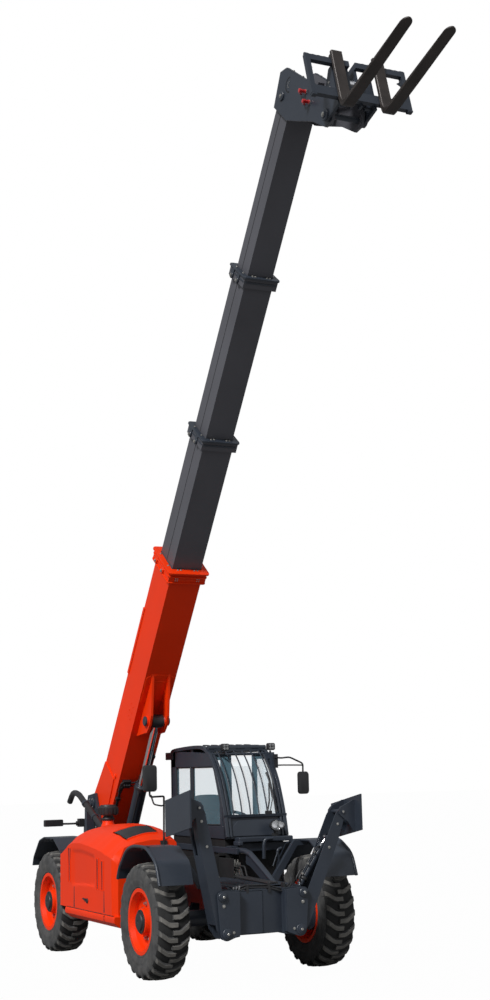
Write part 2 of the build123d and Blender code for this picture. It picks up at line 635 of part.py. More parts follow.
def cab_frame():
    x0, x1 = CAB_X
    outer = slab_x(cab_outline(), x0, x1)
    inner = slab_x(cab_inner(), x0 + CAB_WALL, x1 - CAB_WALL)
    step = (RAIL_X, FRAME_Z[1])
    outer = outer - block((x0 - 10, step[0]), (CAB_Y[0] - 100, CAB_Y[1] + 100), (600, step[1]))
    inner = inner - block((x0 - 10, step[0] + CAB_WALL), (CAB_Y[0] - 100, CAB_Y[1] + 100),
                          (600, step[1] + CAB_WALL))
    body = outer - inner
    for win in SIDE_WINDOWS:
        body = body - slab_x(win, x0 - 5, x0 + CAB_WALL + 5)
    body = body - slab_x(SIDE_WINDOWS[1], x1 - CAB_WALL - 5, x1 + 5)
    body = body - slab_x(DOOR, x1 - CAB_WALL - 5, x1 + 5)
    for z in HINGE_Z:
        lug = block((x1, x1 + 27), (HINGE_Y, HINGE_Y + 45), (z - 30, z - RUN))
        lug = lug + bar((HINGE_X, HINGE_Y, z - 30), (HINGE_X, HINGE_Y, z - RUN), 12)
        pin = bar((HINGE_X, HINGE_Y, z - 30), (HINGE_X, HINGE_Y, z + 27), 8)
        body = body + lug + pin
    # windscreen and rear window
    body = body - block((x0 + 60, x1 - 60), (CAB_Y[0] - 60, CAB_Y[0] + 400), (1660, ROOF_Z - 110))
    body = body - block((x0 + 90, x1 - 90), (CAB_Y[1] - 100, CAB_Y[1] + 10), (1500, ROOF_Z - 160))
    return body


def cab_glass():
    x0, x1 = CAB_X
    panes = []
    for win in SIDE_WINDOWS:
        panes.append(slab_x(win, x0 + 12, x0 + 18))
    panes.append(slab_x(SIDE_WINDOWS[1], x1 - 18, x1 - 12))
    panes.append(block((x0 + 90, x1 - 90), (CAB_Y[1] - 30, CAB_Y[1] - 24), (1500, ROOF_Z - 160)))
    y0 = CAB_Y[0]
    panes.append(slab_x([(y0 - 26, 1660), (y0 - 20, 1660), (y0 + 118, ROOF_Z - 110),
                         (y0 + 112, ROOF_Z - 110)], x0 + 60, x1 - 60))
    return panes


def cab_door():
    x1 = CAB_X[1]
    gap = 6.0
    pts = [(800 + gap, 700 + gap), (1500 - gap, 700 + gap), (1500 - gap, 2350 - gap),
           (950 + gap * 0.7, 2350 - gap), (800 + gap, 1560 + gap * 0.4)]
    panel = slab_x(pts, x1 - CAB_WALL + 4, x1)
    window = [(870, 1500), (1430, 1500), (1430, 2270), (1000, 2270), (870, 1600)]
    panel = panel - slab_x(window, x1 - CAB_WALL - 5, x1 + 5)
    glass = slab_x(window, x1 - 24, x1 - 18)
    for z in HINGE_Z:
        leaf = block((x1, x1 + 24), (HINGE_Y - 70, HINGE_Y - 11), (z, z + 28))
        barrel = bar((HINGE_X, HINGE_Y, z), (HINGE_X, HINGE_Y, z + 28), 13)
        arm = block((x1 + 4, x1 + 24), (HINGE_Y - 30, HINGE_Y), (z, z + 28))
        hole = bar((HINGE_X, HINGE_Y, z - 1), (HINGE_X, HINGE_Y, z + 29), 8 + RUN)
        panel = panel + (leaf + barrel + arm - hole)
    return panel, glass


def seat():
    x = (CAB_X[0] + CAB_X[1]) / 2
    base = block((x - 110, x + 180), (1560, 1960), (685, 1120))
    cushion = block((x - 250, x + 250), (1480, 1990), (1120, 1240))
    back = slab_x([(1900, 1240), (2030, 1240), (2130, 1860), (2050, 1880)], x - 240, x + 240)
    return fuse(base, cushion, back)


def steering_console():
    x = (CAB_X[0] + CAB_X[1]) / 2
    col = slab_x([(860, 685), (1080, 685), (1230, 1480), (1150, 1500), (820, 1500)], x - 90, x + 90)
    wheel = Pos(x, 1270, 1580) * (Rot(25, 0, 0) * (Cylinder(200, 26) - Cylinder(170, 30)))
    spoke = Pos(x, 1270, 1580) * (Rot(25, 0, 0) * Box(380, 30, 14))
    stem = bar((x, 1190, 1440), (x, 1270, 1580), 24)
    return fuse(col, stem, wheel, spoke)


# ---------------------------------------------------------------- stabilisers
def stab_point(side, across, z):
    return (STAB_X + side * across, z)


def leg_point(side, along, out):
    """(x, z) of a leg point: along from its pivot, out towards the outer side."""
    a = radians(LEG_LEAN_DEG[side])
    px, pz = STAB_PIVOT
    return stab_point(side, px + along * sin(a) + out * cos(a), pz + along * cos(a) - out * sin(a))


def stabiliser_beam():
    y1 = STAB_Y + 80
    body = slab_y([(STAB_X - 340, 500), (STAB_X + 340, 500), (STAB_X + 400, 930),
                   (STAB_X - 400, 930)], y1 - 40, y1)
    for side in (-1, 1):
        for dy in (-118, 30):
            plate_pts = lobe(stab_point(side, *STAB_PIVOT), stab_point(side, *STAB_CYL), 66, 52)
            inner = [stab_point(side, 250, 480), stab_point(side, STAB_PIVOT[0], 454),
                     stab_point(side, STAB_CYL[0], 950), stab_point(side, 250, 940)]
            body = body + slab_y(plate_pts, STAB_Y + dy, STAB_Y + dy + 20)
            body = body + slab_y(inner, STAB_Y + dy, STAB_Y + dy + 20)
        body = body + slab_y([stab_point(side, 250, 480), stab_point(side, 290, 480),
                              stab_point(side, 290, 940), stab_point(side, 250, 940)],
                             STAB_Y - 118, y1 - 1)
        x, z = stab_point(side, *STAB_PIVOT)
        body = body + pin_y(x, z, STAB_Y + LEG_Y[0] - 10, STAB_Y + LEG_Y[1] + 6, 25)
        x, z = stab_point(side, *STAB_CYL)
        for k0, k1 in ((-118, -STAB_EYE_HALF - RUN), (STAB_EYE_HALF + RUN, 50)):
            body = body + pin_y(x, z, STAB_Y + k0, STAB_Y + k1, 22)
    return body


def stabiliser_leg(side):
    """Box leg, open on its inner side, where the cylinder folds into it."""
    y0, y1 = (STAB_Y + v for v in LEG_Y)
    edge = [leg_point(side, a, o) for a, o in ((-50, -35), (-50, 40), (60, 88), (LEG_LEN - 300, 72),
                                               (LEG_LEN - 60, 50), (LEG_LEN + 45, 35),
                                               (LEG_LEN + 45, -35), (LEG_LEN - 60, -60), (120, -60))]
    x, z = leg_point(side, 0, 0)
    out = None
    for dy in (y0, y1 - 15):
        plate = slab_y(edge, dy, dy + 15, [(x, z, 25 + RUN)])
        out = plate if out is None else out + plate
    web = [leg_point(side, a, o) for a, o in ((110, 71), (110, 86), (LEG_LEN - 300, 71), (LEG_LEN - 100, 53),
                                              (LEG_LEN - 100, 38), (LEG_LEN - 300, 56))]
    out = out + slab_y(web, y0 + 1, y1 - 1)
    window = [leg_point(side, a, o) for a, o in ((LEG_CYL_AT - 190, 30), (LEG_CYL_AT - 190, 100),
                                                 (LEG_CYL_AT + 110, 100), (LEG_CYL_AT + 110, 30))]
    out = out - slab_y(window, STAB_Y - STAB_EYE_HALF - 12, STAB_Y + STAB_EYE_HALF + 12)
    mx, mz = leg_point(side, LEG_CYL_AT, -LEG_CYL_OFF)
    for a0, a1 in ((y0 + 1, STAB_Y - STAB_EYE_HALF - RUN), (STAB_Y + STAB_EYE_HALF + RUN, y1 - 1)):
        out = out + pin_y(mx, mz, a0, a1, 22)
    tip = leg_point(side, LEG_LEN, 0)
    return out + pin_y(*tip, y0 - 30, y1 + 30, 22)


def stabiliser_pad(side):
    """Foot: a skewed sole plate on two ears outside the leg."""
    tx, tz = leg_point(side, LEG_LEN, 0)
    y0, y1 = (STAB_Y + v for v in LEG_Y)
    f0, f1 = (STAB_Y + v for v in FOOT_Y)
    h, o = FOOT_H, FOOT_OUT
    k0, k1 = FOOT_SKEW
    sole = slab_x([(f0, k0 - h), (f1, k1 - h), (f1, k1 + h), (f0, k0 + h)], o, o + 18)
    ear = [(o + 1, -h - 20), (o + 1, h - 70), (o - 20, h - 70), (-20, 50), (-48, 15), (-48, -20), (-20, -48),
           (60, -110), (o - 20, -h - 20)]
    for dy in (y0 - 21, y1 + 6):
        sole = sole + slab_y(ear, dy, dy + 15, [(0, 0, 22 + RUN)])
    flip = sole if side > 0 else mirror(sole, about=Plane.YZ)
    return Pos(tx, 0, tz) * flip


def stab_cyl_parts(side):
    foot = stab_point(side, *STAB_CYL)
    eye = leg_point(side, LEG_CYL_AT, -LEG_CYL_OFF)
    barrel = cylinder_barrel(foot, eye, STAB_Y, STAB_BARREL_R, STAB_BARREL_LEN,
                             STAB_ROD_R + 0.5, STAB_EYE_HALF, 82, axis="y")
    rod = cylinder_rod(foot, eye, STAB_Y, STAB_ROD_R, STAB_BARREL_LEN - 330, STAB_EYE_HALF, 34, axis="y")
    return barrel, rod


# ---------------------------------------------------------------- small fittings
def exhaust():
    """Silencer pipe behind the bonnet: up, back in a bend, and out with a turned-down end."""
    x, z, y = -560, 1770, BONNET_REAR + 50
    run = fuse(bar((x, y, 1450), (x, y, z - 90), 38), bar((x, y, z - 90), (x, y + 90, z), 38),
               bar((x, y + 80, z), (x, y + 300, z), 38), bar((x, y + 290, z), (x, y + 370, z - 60), 38),
               Pos(x, y, z - 90) * Sphere(38), Pos(x, y + 295, z) * Sphere(38))
    return fuse(run, block((x - 30, x + 30), (BONNET_REAR, y), (1460, 1500)))


def mirrors():
    out = []
    foot = (-560, HOOD_Y[0] - 12, 1160)
    out.append(fuse(block((-590, -530), (HOOD_Y[0] - 16, HOOD_Y[0]), (1155, 1222)),
                    bar(foot, (-560, HOOD_Y[0] - 12, 1860), 12),
                    bar((-560, HOOD_Y[0] - 12, 1848), (-750, 632, 1848), 10),
                    bar((-750, 632, 1840), (-750, 632, 1950), 10),
                    block((-830, -670), (600, 640), (1928, 2224))))
    out.append(fuse(bar((CAB_X[1], 780, 2280), (995, 780, 2280), 10),
                    bar((990, 785, 2280), (1100, 640, 2260), 10),
                    block((1030, 1190), (600, 640), (2040, 2320))))
    return out


def work_lamps():
    out = []
    for x in (235, 859):
        y = CAB_Y[0] + 110
        stem = block((x - 15, x + 15), (y - 5, y + 110), (ROOF_Z - 30, ROOF_Z - 15))
        stem = stem - slab_x(cab_outline(), x - 20, x + 20)
        out.append(fuse(block((x - 55, x + 55), (y - 60, y), (ROOF_Z - 75, ROOF_Z + 5)), stem))
    return out


def tank():
    """Fuel and oil tank with the cab step, below the cab's outer side."""
    return fuse(block((RAIL_X, 760), (900, 2200), (500, 635)), block((760, 1100), (1000, 1500), (440, 470)),
                block((740, 775), (1000, 1500), (440, 600)))


def hitch():
    plate = block((-200, 200), (FRAME_REAR - 1, FRAME_REAR + 25), (560, 778))
    ears = fuse(block((-70, 70), (FRAME_REAR + 20, FRAME_REAR + 130), (640, 665)),
                block((-70, 70), (FRAME_REAR + 20, FRAME_REAR + 130), (753, 778)))
    ears = ears - bar((0, FRAME_REAR + 85, 600), (0, FRAME_REAR + 85, 800), 16)
    return plate + ears


# ---------------------------------------------------------------- all pieces
def build():
    parts = {}
    parts["chassis_frame"] = chassis() + hitch()
    parts["axles"] = Compound([axle(0.0), axle(WHEELBASE)])
    parts["engine_block"] = engine()
    parts["engine_hood"] = hood()
    parts["fenders"] = Compound(fenders())
    parts["cab_frame"] = cab_frame()
    parts["cab_glass"] = Compound(cab_glass())
    parts["cab_door"], parts["cab_door_glass"] = cab_door()
    parts["seat"] = seat()
    parts["steering_console"] = steering_console()
    parts["stabiliser_beam"] = stabiliser_beam()
    for side, tag in ((1, "left"), (-1, "right")):
        parts[f"stabiliser_leg_{tag}"] = stabiliser_leg(side)
        parts[f"stabiliser_pad_{tag}"] = stabiliser_pad(side)
        barrel, rod = stab_cyl_parts(side)
        parts[f"stabiliser_barrel_{tag}"] = barrel
        parts[f"stabiliser_rod_{tag}"] = rod
    for y, end in ((0.0, "front"), (WHEELBASE, "rear")):
        for side, tag in ((1, "left"), (-1, "right")):
            parts[f"knuckle_{end}_{tag}"] = knuckle(side, y)
            parts[f"rim_{end}_{tag}"] = rim(side, y)
            parts[f"tyre_{end}_{tag}"] = tyre(side, y)
    parts["boom_base"] = boom_base()
    parts["boom_section_2"] = boom_section("2")
    parts["boom_section_3"] = boom_section("3")
    parts["boom_section_4"] = section_4()
    parts["lift_barrel"], parts["lift_rod"] = lift_parts()
    parts["tilt_barrel"], parts["tilt_rod"] = tilt_parts()
    parts["carriage_frame"] = carriage_frame()
    parts["forks"] = forks()
    parts["exhaust"] = exhaust()
    parts["mirrors_and_lamps"] = Compound(mirrors() + work_lamps())
    parts["tank_and_step"] = tank()
    return parts


def main():
    os.makedirs("parts", exist_ok=True)
    for name, shape in build().items():
        solids = shape.solids()
        moved = Pos(SHIFT_X, SHIFT_Y, 0) * (Compound(solids) if len(solids) > 1 else solids[0])
        export_step(moved, f"parts/{name}.step")


if __name__ == "__main__":
    main()
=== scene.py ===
"""Looks of a telehandler: materials, tread, cab fittings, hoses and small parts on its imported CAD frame.

Metres, Z up, forks towards -Y, the vehicle's left (cab side) +X. Lengths along Y are measured from
the front axle, which FRONT below places in the row frame.
"""

import json
from math import atan2, cos, hypot, pi, radians, sin, sqrt

import bmesh
import bpy
from mathutils import Matrix, Vector


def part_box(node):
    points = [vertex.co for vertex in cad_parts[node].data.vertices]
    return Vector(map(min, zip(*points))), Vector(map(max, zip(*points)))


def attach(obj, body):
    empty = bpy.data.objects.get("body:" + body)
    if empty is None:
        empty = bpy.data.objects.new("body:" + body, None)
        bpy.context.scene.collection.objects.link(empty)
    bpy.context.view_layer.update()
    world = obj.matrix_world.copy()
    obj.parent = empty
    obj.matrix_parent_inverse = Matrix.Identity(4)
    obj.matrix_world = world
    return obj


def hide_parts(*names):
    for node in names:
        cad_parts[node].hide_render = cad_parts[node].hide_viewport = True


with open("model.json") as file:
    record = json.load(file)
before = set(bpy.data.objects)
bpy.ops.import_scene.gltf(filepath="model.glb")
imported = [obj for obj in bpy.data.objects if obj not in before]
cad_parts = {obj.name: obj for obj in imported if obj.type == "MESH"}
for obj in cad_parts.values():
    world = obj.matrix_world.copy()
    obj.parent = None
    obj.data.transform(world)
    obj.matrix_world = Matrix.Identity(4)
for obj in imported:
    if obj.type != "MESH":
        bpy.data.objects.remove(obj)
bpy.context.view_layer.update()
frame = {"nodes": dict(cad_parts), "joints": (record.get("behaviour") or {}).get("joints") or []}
NODES = frame["nodes"]
AXIS_OF = {joint["name"]: joint["axis"] for joint in frame["joints"]}


# ---------------------------------------------------------------- driving dimensions
def middle(node):
    lo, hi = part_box(node)
    return Vector([(a + b) / 2 for a, b in zip(lo, hi)])


WHEEL = {name: middle("rim_" + name) for name in ("front_left", "front_right", "rear_left", "rear_right")}
FRONT, REAR = WHEEL["front_left"].y, WHEEL["rear_left"].y
WHEELBASE = REAR - FRONT
AXLE_Z = WHEEL["front_left"].z
TYRE_R = (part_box("tyre_front_left")[1][2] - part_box("tyre_front_left")[0][2]) / 2
BOOM_X = -0.120
BOOM_A = radians(52.7)
PIVOT = (WHEELBASE + 0.520, 1.760)
PIVOT_S, PIVOT_N = -0.159, -0.246


def at(x, y, z):
    """Point with y measured from the front axle."""
    return Vector((x, y + FRONT, z))


def on_boom(x, s, n):
    """Point s along the boom and n below its centre line, boom at rest."""
    ds, dn = s - PIVOT_S, n - PIVOT_N
    return at(x, PIVOT[0] - ds * cos(BOOM_A) - dn * sin(BOOM_A), PIVOT[1] + ds * sin(BOOM_A) - dn * cos(BOOM_A))


def in_boom(x, s, n):
    """The same, with x from the boom's own middle."""
    return on_boom(BOOM_X + x, s, n)


def turns(count, start=0.0):
    """Angles of count equal steps round a circle."""
    return [2 * pi * k / count + start for k in range(count)]


# ---------------------------------------------------------------- materials
def tree_of(name):
    m = bpy.data.materials.new(name)
    m.use_nodes = True
    m.node_tree.nodes.clear()
    return m, m.node_tree.nodes, m.node_tree.links


def surface(name, rgb, rough=0.5, metal=0.0, coat=0.0, spread=0.06, scale=3.0, grain=0.02, grain_scale=90.0,
            dust=0.0, dust_rgb=(0.30, 0.27, 0.23), dust_scale=5.0, specular=0.5):
    """Painted, moulded or cast surface: uneven colour and gloss, fine grain, and dust that lies in patches."""
    m, nodes, links = tree_of(name)
    out = nodes.new("ShaderNodeOutputMaterial")
    bsdf = nodes.new("ShaderNodeBsdfPrincipled")
    links.new(bsdf.outputs[0], out.inputs[0])
    bsdf.inputs["Metallic"].default_value = metal
    bsdf.inputs["Coat Weight"].default_value = coat
    bsdf.inputs["Coat Roughness"].default_value = 0.08
    bsdf.inputs["Specular IOR Level"].default_value = specular
    place = nodes.new("ShaderNodeTexCoord")
    cloud = nodes.new("ShaderNodeTexNoise")
    cloud.inputs["Scale"].default_value = scale
    cloud.inputs["Detail"].default_value = 6
    links.new(place.outputs["Object"], cloud.inputs["Vector"])
    ramp = nodes.new("ShaderNodeValToRGB")
    ramp.color_ramp.elements[0].position, ramp.color_ramp.elements[1].position = 0.3, 0.7
    ramp.color_ramp.elements[0].color = [c * (1 - spread) for c in rgb] + [1]
    ramp.color_ramp.elements[1].color = [min(1, c * (1 + spread)) for c in rgb] + [1]
    links.new(cloud.outputs["Fac"], ramp.inputs["Fac"])
    colour = ramp.outputs["Color"]
    if dust:
        patch = nodes.new("ShaderNodeTexNoise")
        patch.inputs["Scale"].default_value = dust_scale
        patch.inputs["Detail"].default_value = 9
        patch.inputs["Roughness"].default_value = 0.7
        links.new(place.outputs["Object"], patch.inputs["Vector"])
        amount = nodes.new("ShaderNodeMapRange")
        amount.inputs["From Min"].default_value, amount.inputs["From Max"].default_value = 0.42, 0.72
        amount.inputs["To Max"].default_value = dust
        links.new(patch.outputs["Fac"], amount.inputs["Value"])
        mix = nodes.new("ShaderNodeMix")
        mix.data_type = "RGBA"
        links.new(amount.outputs["Result"], mix.inputs["Factor"])
        links.new(colour, mix.inputs[6])
        mix.inputs[7].default_value = (*dust_rgb, 1)
        colour = mix.outputs[2]
    links.new(colour, bsdf.inputs["Base Color"])
    gloss = nodes.new("ShaderNodeMapRange")
    gloss.inputs["To Min"].default_value = max(0.02, rough - 0.06)
    gloss.inputs["To Max"].default_value = rough + 0.06
    links.new(cloud.outputs["Fac"], gloss.inputs["Value"])
    links.new(gloss.outputs["Result"], bsdf.inputs["Roughness"])
    if grain:
        fine = nodes.new("ShaderNodeTexNoise")
        fine.inputs["Scale"].default_value = grain_scale
        fine.inputs["Detail"].default_value = 3
        links.new(place.outputs["Object"], fine.inputs["Vector"])
        bump = nodes.new("ShaderNodeBump")
        bump.inputs["Strength"].default_value = grain
        bump.inputs["Distance"].default_value = 0.004
        links.new(fine.outputs["Fac"], bump.inputs["Height"])
        links.new(bump.outputs["Normal"], bsdf.inputs["Normal"])
    return m


def glass(name, tint, alpha):
    m, nodes, links = tree_of(name)
    out = nodes.new("ShaderNodeOutputMaterial")
    bsdf = nodes.new("ShaderNodeBsdfPrincipled")
    bsdf.inputs["Base Color"].default_value = (*tint, 1)
    bsdf.inputs["Roughness"].default_value = 0.04
    bsdf.inputs["Alpha"].default_value = alpha
    links.new(bsdf.outputs[0], out.inputs[0])
    return m


ORANGE = surface("orange_paint", (0.80, 0.036, 0.002), rough=0.45, specular=0.16, spread=0.05, scale=1.5, grain=0.03)
NAVY = surface("navy_paint", (0.023, 0.030, 0.043), rough=0.45, coat=0.08, spread=0.12, scale=2.0, grain=0.04,
               dust=0.05, dust_rgb=(0.10, 0.10, 0.10))
BOOM_GREY = surface("boom_grey", (0.088, 0.088, 0.100), rough=0.45, specular=0.3, spread=0.10, scale=1.2, grain=0.05)
BLACK = surface("black_plastic", (0.018, 0.018, 0.020), rough=0.5, spread=0.1, scale=8, grain=0.10, grain_scale=300)
STEEL = surface("fork_steel", (0.040, 0.033, 0.030), rough=0.5, metal=0.35, spread=0.2, scale=5, grain=0.12,
                dust=0.15, dust_rgb=(0.11, 0.09, 0.08))
RUBBER = surface("tyre_rubber", (0.046, 0.046, 0.047), rough=0.85, spread=0.35, scale=7, grain=0.35, grain_scale=160,
                 dust=0.45, dust_rgb=(0.13, 0.125, 0.115), dust_scale=9)
TREAD = surface("tyre_tread", (0.115, 0.110, 0.102), rough=0.85, spread=0.30, scale=14, grain=0.35, grain_scale=160,
                dust=0.5, dust_rgb=(0.24, 0.225, 0.20), dust_scale=12)
# groove floors between the lugs: the tyre rubber made darker, painted shade
GROOVE_SHADE = surface("tyre_groove_painted_shade", (0.016, 0.016, 0.016), rough=0.9, spread=0.3, scale=10, grain=0.3, grain_scale=120)
# near-black: the weld seams' own dark, and painted shade where it stands for holes, slots and the shaded space under
# the cab
SEAM_DARK_AND_SHADE = surface("seam_dark_and_painted_shade", (0.008, 0.008, 0.009), rough=0.7, spread=0.3, scale=6, grain=0.15, grain_scale=120)
CHROME = surface("chrome_rod", (0.74, 0.74, 0.76), rough=0.14, metal=1.0, spread=0.03, scale=12, grain=0.01)
ZINC = surface("bolt_zinc", (0.48, 0.47, 0.44), rough=0.35, metal=0.9, spread=0.10, scale=40, grain=0.05)
HOSE = surface("hose_rubber", (0.022, 0.022, 0.024), rough=0.55, spread=0.15, scale=30, grain=0.25, grain_scale=500)
FABRIC = surface("seat_cover", (0.028, 0.024, 0.024), rough=0.9, spread=0.2, scale=25, grain=0.6, grain_scale=420)
CASTING = surface("cast_engine", (0.12, 0.12, 0.12), rough=0.7, metal=0.3, spread=0.15, scale=10, grain=0.3)
GLASS = glass("window_glass", (0.34, 0.60, 0.74), 0.20)
LENS = glass("lamp_lens", (0.90, 0.92, 0.92), 0.20)
AMBER = surface("amber_lens", (0.75, 0.22, 0.01), rough=0.2, coat=0.6, spread=0.05, scale=20, grain=0.05)
RED_LENS = surface("red_lens", (0.45, 0.01, 0.01), rough=0.2, coat=0.6, spread=0.05, scale=20, grain=0.05)

NODE_LOOK = {"engine_block": CASTING, "engine_hood": ORANGE, "cab_glass": GLASS, "cab_door_glass": GLASS,
             "seat": FABRIC,
             "steering_console": BLACK, "mirrors_and_lamps": BLACK, "boom_base": ORANGE, "forks": STEEL}


def look_of(node):
    if node in NODE_LOOK:
        return NODE_LOOK[node]
    if node.startswith("tyre"):
        return RUBBER
    if node.startswith("rim"):
        return ORANGE
    if node.startswith("boom_section"):
        return BOOM_GREY
    if "_rod" in node:
        return CHROME
    return NAVY


def slab(outline, offset):
    """Vertices and faces of a plate: an outline and its copy moved by offset."""
    n = len(outline)
    verts = [Vector(p) for p in outline] + [Vector(p) + Vector(offset) for p in outline]
    return verts, [tuple(range(n))[::-1], tuple(range(n, 2 * n))] + [(k, (k + 1) % n, n + (k + 1) % n,
                                                                      n + k) for k in range(n)]


def soften(obj, width, angle=35, segments=2):
    """Round the edges of a piece a little, and shade it smooth between them."""
    mod = obj.modifiers.new("edges", "BEVEL")
    mod.width, mod.segments, mod.limit_method, mod.angle_limit = width, segments, "ANGLE", radians(angle)
    mod.harden_normals = True


for node, obj in NODES.items():
    obj.data.materials.clear()
    obj.data.materials.append(look_of(node))

# ---------------------------------------------------------------- camera, light, floor
CAMERA_AT = at(-7.072, -15.390, 2.170)
YAW, PITCH, ROLL = radians(25.3), radians(10.0), radians(-1.3)
forward = Vector((sin(YAW) * cos(PITCH), cos(YAW) * cos(PITCH), sin(PITCH)))
level = Vector((cos(YAW), -sin(YAW), 0))
upright = level.cross(forward)
right = level * cos(ROLL) + upright * sin(ROLL)
up = upright * cos(ROLL) - level * sin(ROLL)
cam_data = bpy.data.cameras.new("camera")
cam_data.lens, cam_data.sensor_width, cam_data.clip_end = 54.64, 36.0, 200
cam = bpy.data.objects.new("camera", cam_data)
bpy.context.collection.objects.link(cam)
cam.matrix_world = Matrix.Translation(CAMERA_AT) @ Matrix((right, up, -forward)).transposed().to_4x4()
bpy.context.scene.camera = cam


def lamp(name, kind, energy, towards, size=1.0, place=(0, 0, 12)):
    data = bpy.data.lights.new(name, kind)
    data.energy = energy
    if kind == "SUN":
        data.angle = size
    else:
        data.shape, data.size = "DISK", size
    o = bpy.data.objects.new(name, data)
    bpy.context.collection.objects.link(o)
    o.location = place
    o.rotation_euler = Vector(towards).to_track_quat("-Z", "Y").to_euler()


lamp("key", "SUN", 3.2, (0.80, 0.50, -0.80), size=radians(14))
lamp("fill", "SUN", 0.12, (-0.55, 0.85, -0.35), size=radians(40))

world = bpy.data.worlds.new("studio")
bpy.context.scene.world = world
world.use_nodes = True
wn, wl = world.node_tree.nodes, world.node_tree.links
wn.clear()
w_out = wn.new("ShaderNodeOutputWorld")
w_light, w_seen, w_mix = wn.new("ShaderNodeBackground"), wn.new("ShaderNodeBackground"), wn.new("ShaderNodeMixShader")
path = wn.new("ShaderNodeLightPath")
seen = wn.new("ShaderNodeMath")
seen.operation = "MAXIMUM"
w_light.inputs["Color"].default_value = (0.93, 0.96, 1.0, 1)
w_light.inputs["Strength"].default_value = 0.34
w_seen.inputs["Color"].default_value = (1, 1, 1, 1)
wl.new(path.outputs["Is Camera Ray"], seen.inputs[0])
wl.new(path.outputs["Is Transmission Ray"], seen.inputs[1])
wl.new(seen.outputs[0], w_mix.inputs[0])
wl.new(w_light.outputs[0], w_mix.inputs[1])
wl.new(w_seen.outputs[0], w_mix.inputs[2])
wl.new(w_mix.outputs[0], w_out.inputs[0])

floor_mesh = bpy.data.meshes.new("floor")
floor_mesh.from_pydata([(-90, -90, -0.001), (90, -90, -0.001), (90, 90, -0.001), (-90, 90, -0.001)], [], [(0, 1, 2, 3)])
floor = bpy.data.objects.new("floor", floor_mesh)
bpy.context.collection.objects.link(floor)
pale, fn, fl = tree_of("pale_floor")
f_out, f_mix, f_diff = fn.new("ShaderNodeOutputMaterial"), fn.new("ShaderNodeMixShader"), fn.new("ShaderNodeBsdfDiffuse")
f_emit, f_path, f_share = fn.new("ShaderNodeEmission"), fn.new("ShaderNodeLightPath"), fn.new("ShaderNodeMath")
f_diff.inputs["Color"].default_value = (0.25, 0.25, 0.25, 1)
f_share.operation = "MULTIPLY"
f_share.inputs[1].default_value = 0.985
fl.new(f_path.outputs["Is Camera Ray"], f_share.inputs[0])
fl.new(f_share.outputs[0], f_mix.inputs[0])
fl.new(f_diff.outputs[0], f_mix.inputs[1])
fl.new(f_emit.outputs[0], f_mix.inputs[2])
fl.new(f_mix.outputs[0], f_out.inputs[0])
floor_mesh.materials.append(pale)

bpy.context.scene.view_settings.view_transform = "Standard"


def piece(name, mesh, material, body, smooth=30):
    """Put a mesh into the scene as a piece that moves with a body."""
    obj = bpy.data.objects.new(name, mesh)
    bpy.context.collection.objects.link(obj)
    for m in material if isinstance(material, (list, tuple)) else [material]:
        mesh.materials.append(m)
    if smooth:
        for poly in mesh.polygons:
            poly.use_smooth = True
        mesh.set_sharp_from_angle(angle=radians(smooth))
    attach(obj, body)
    return obj


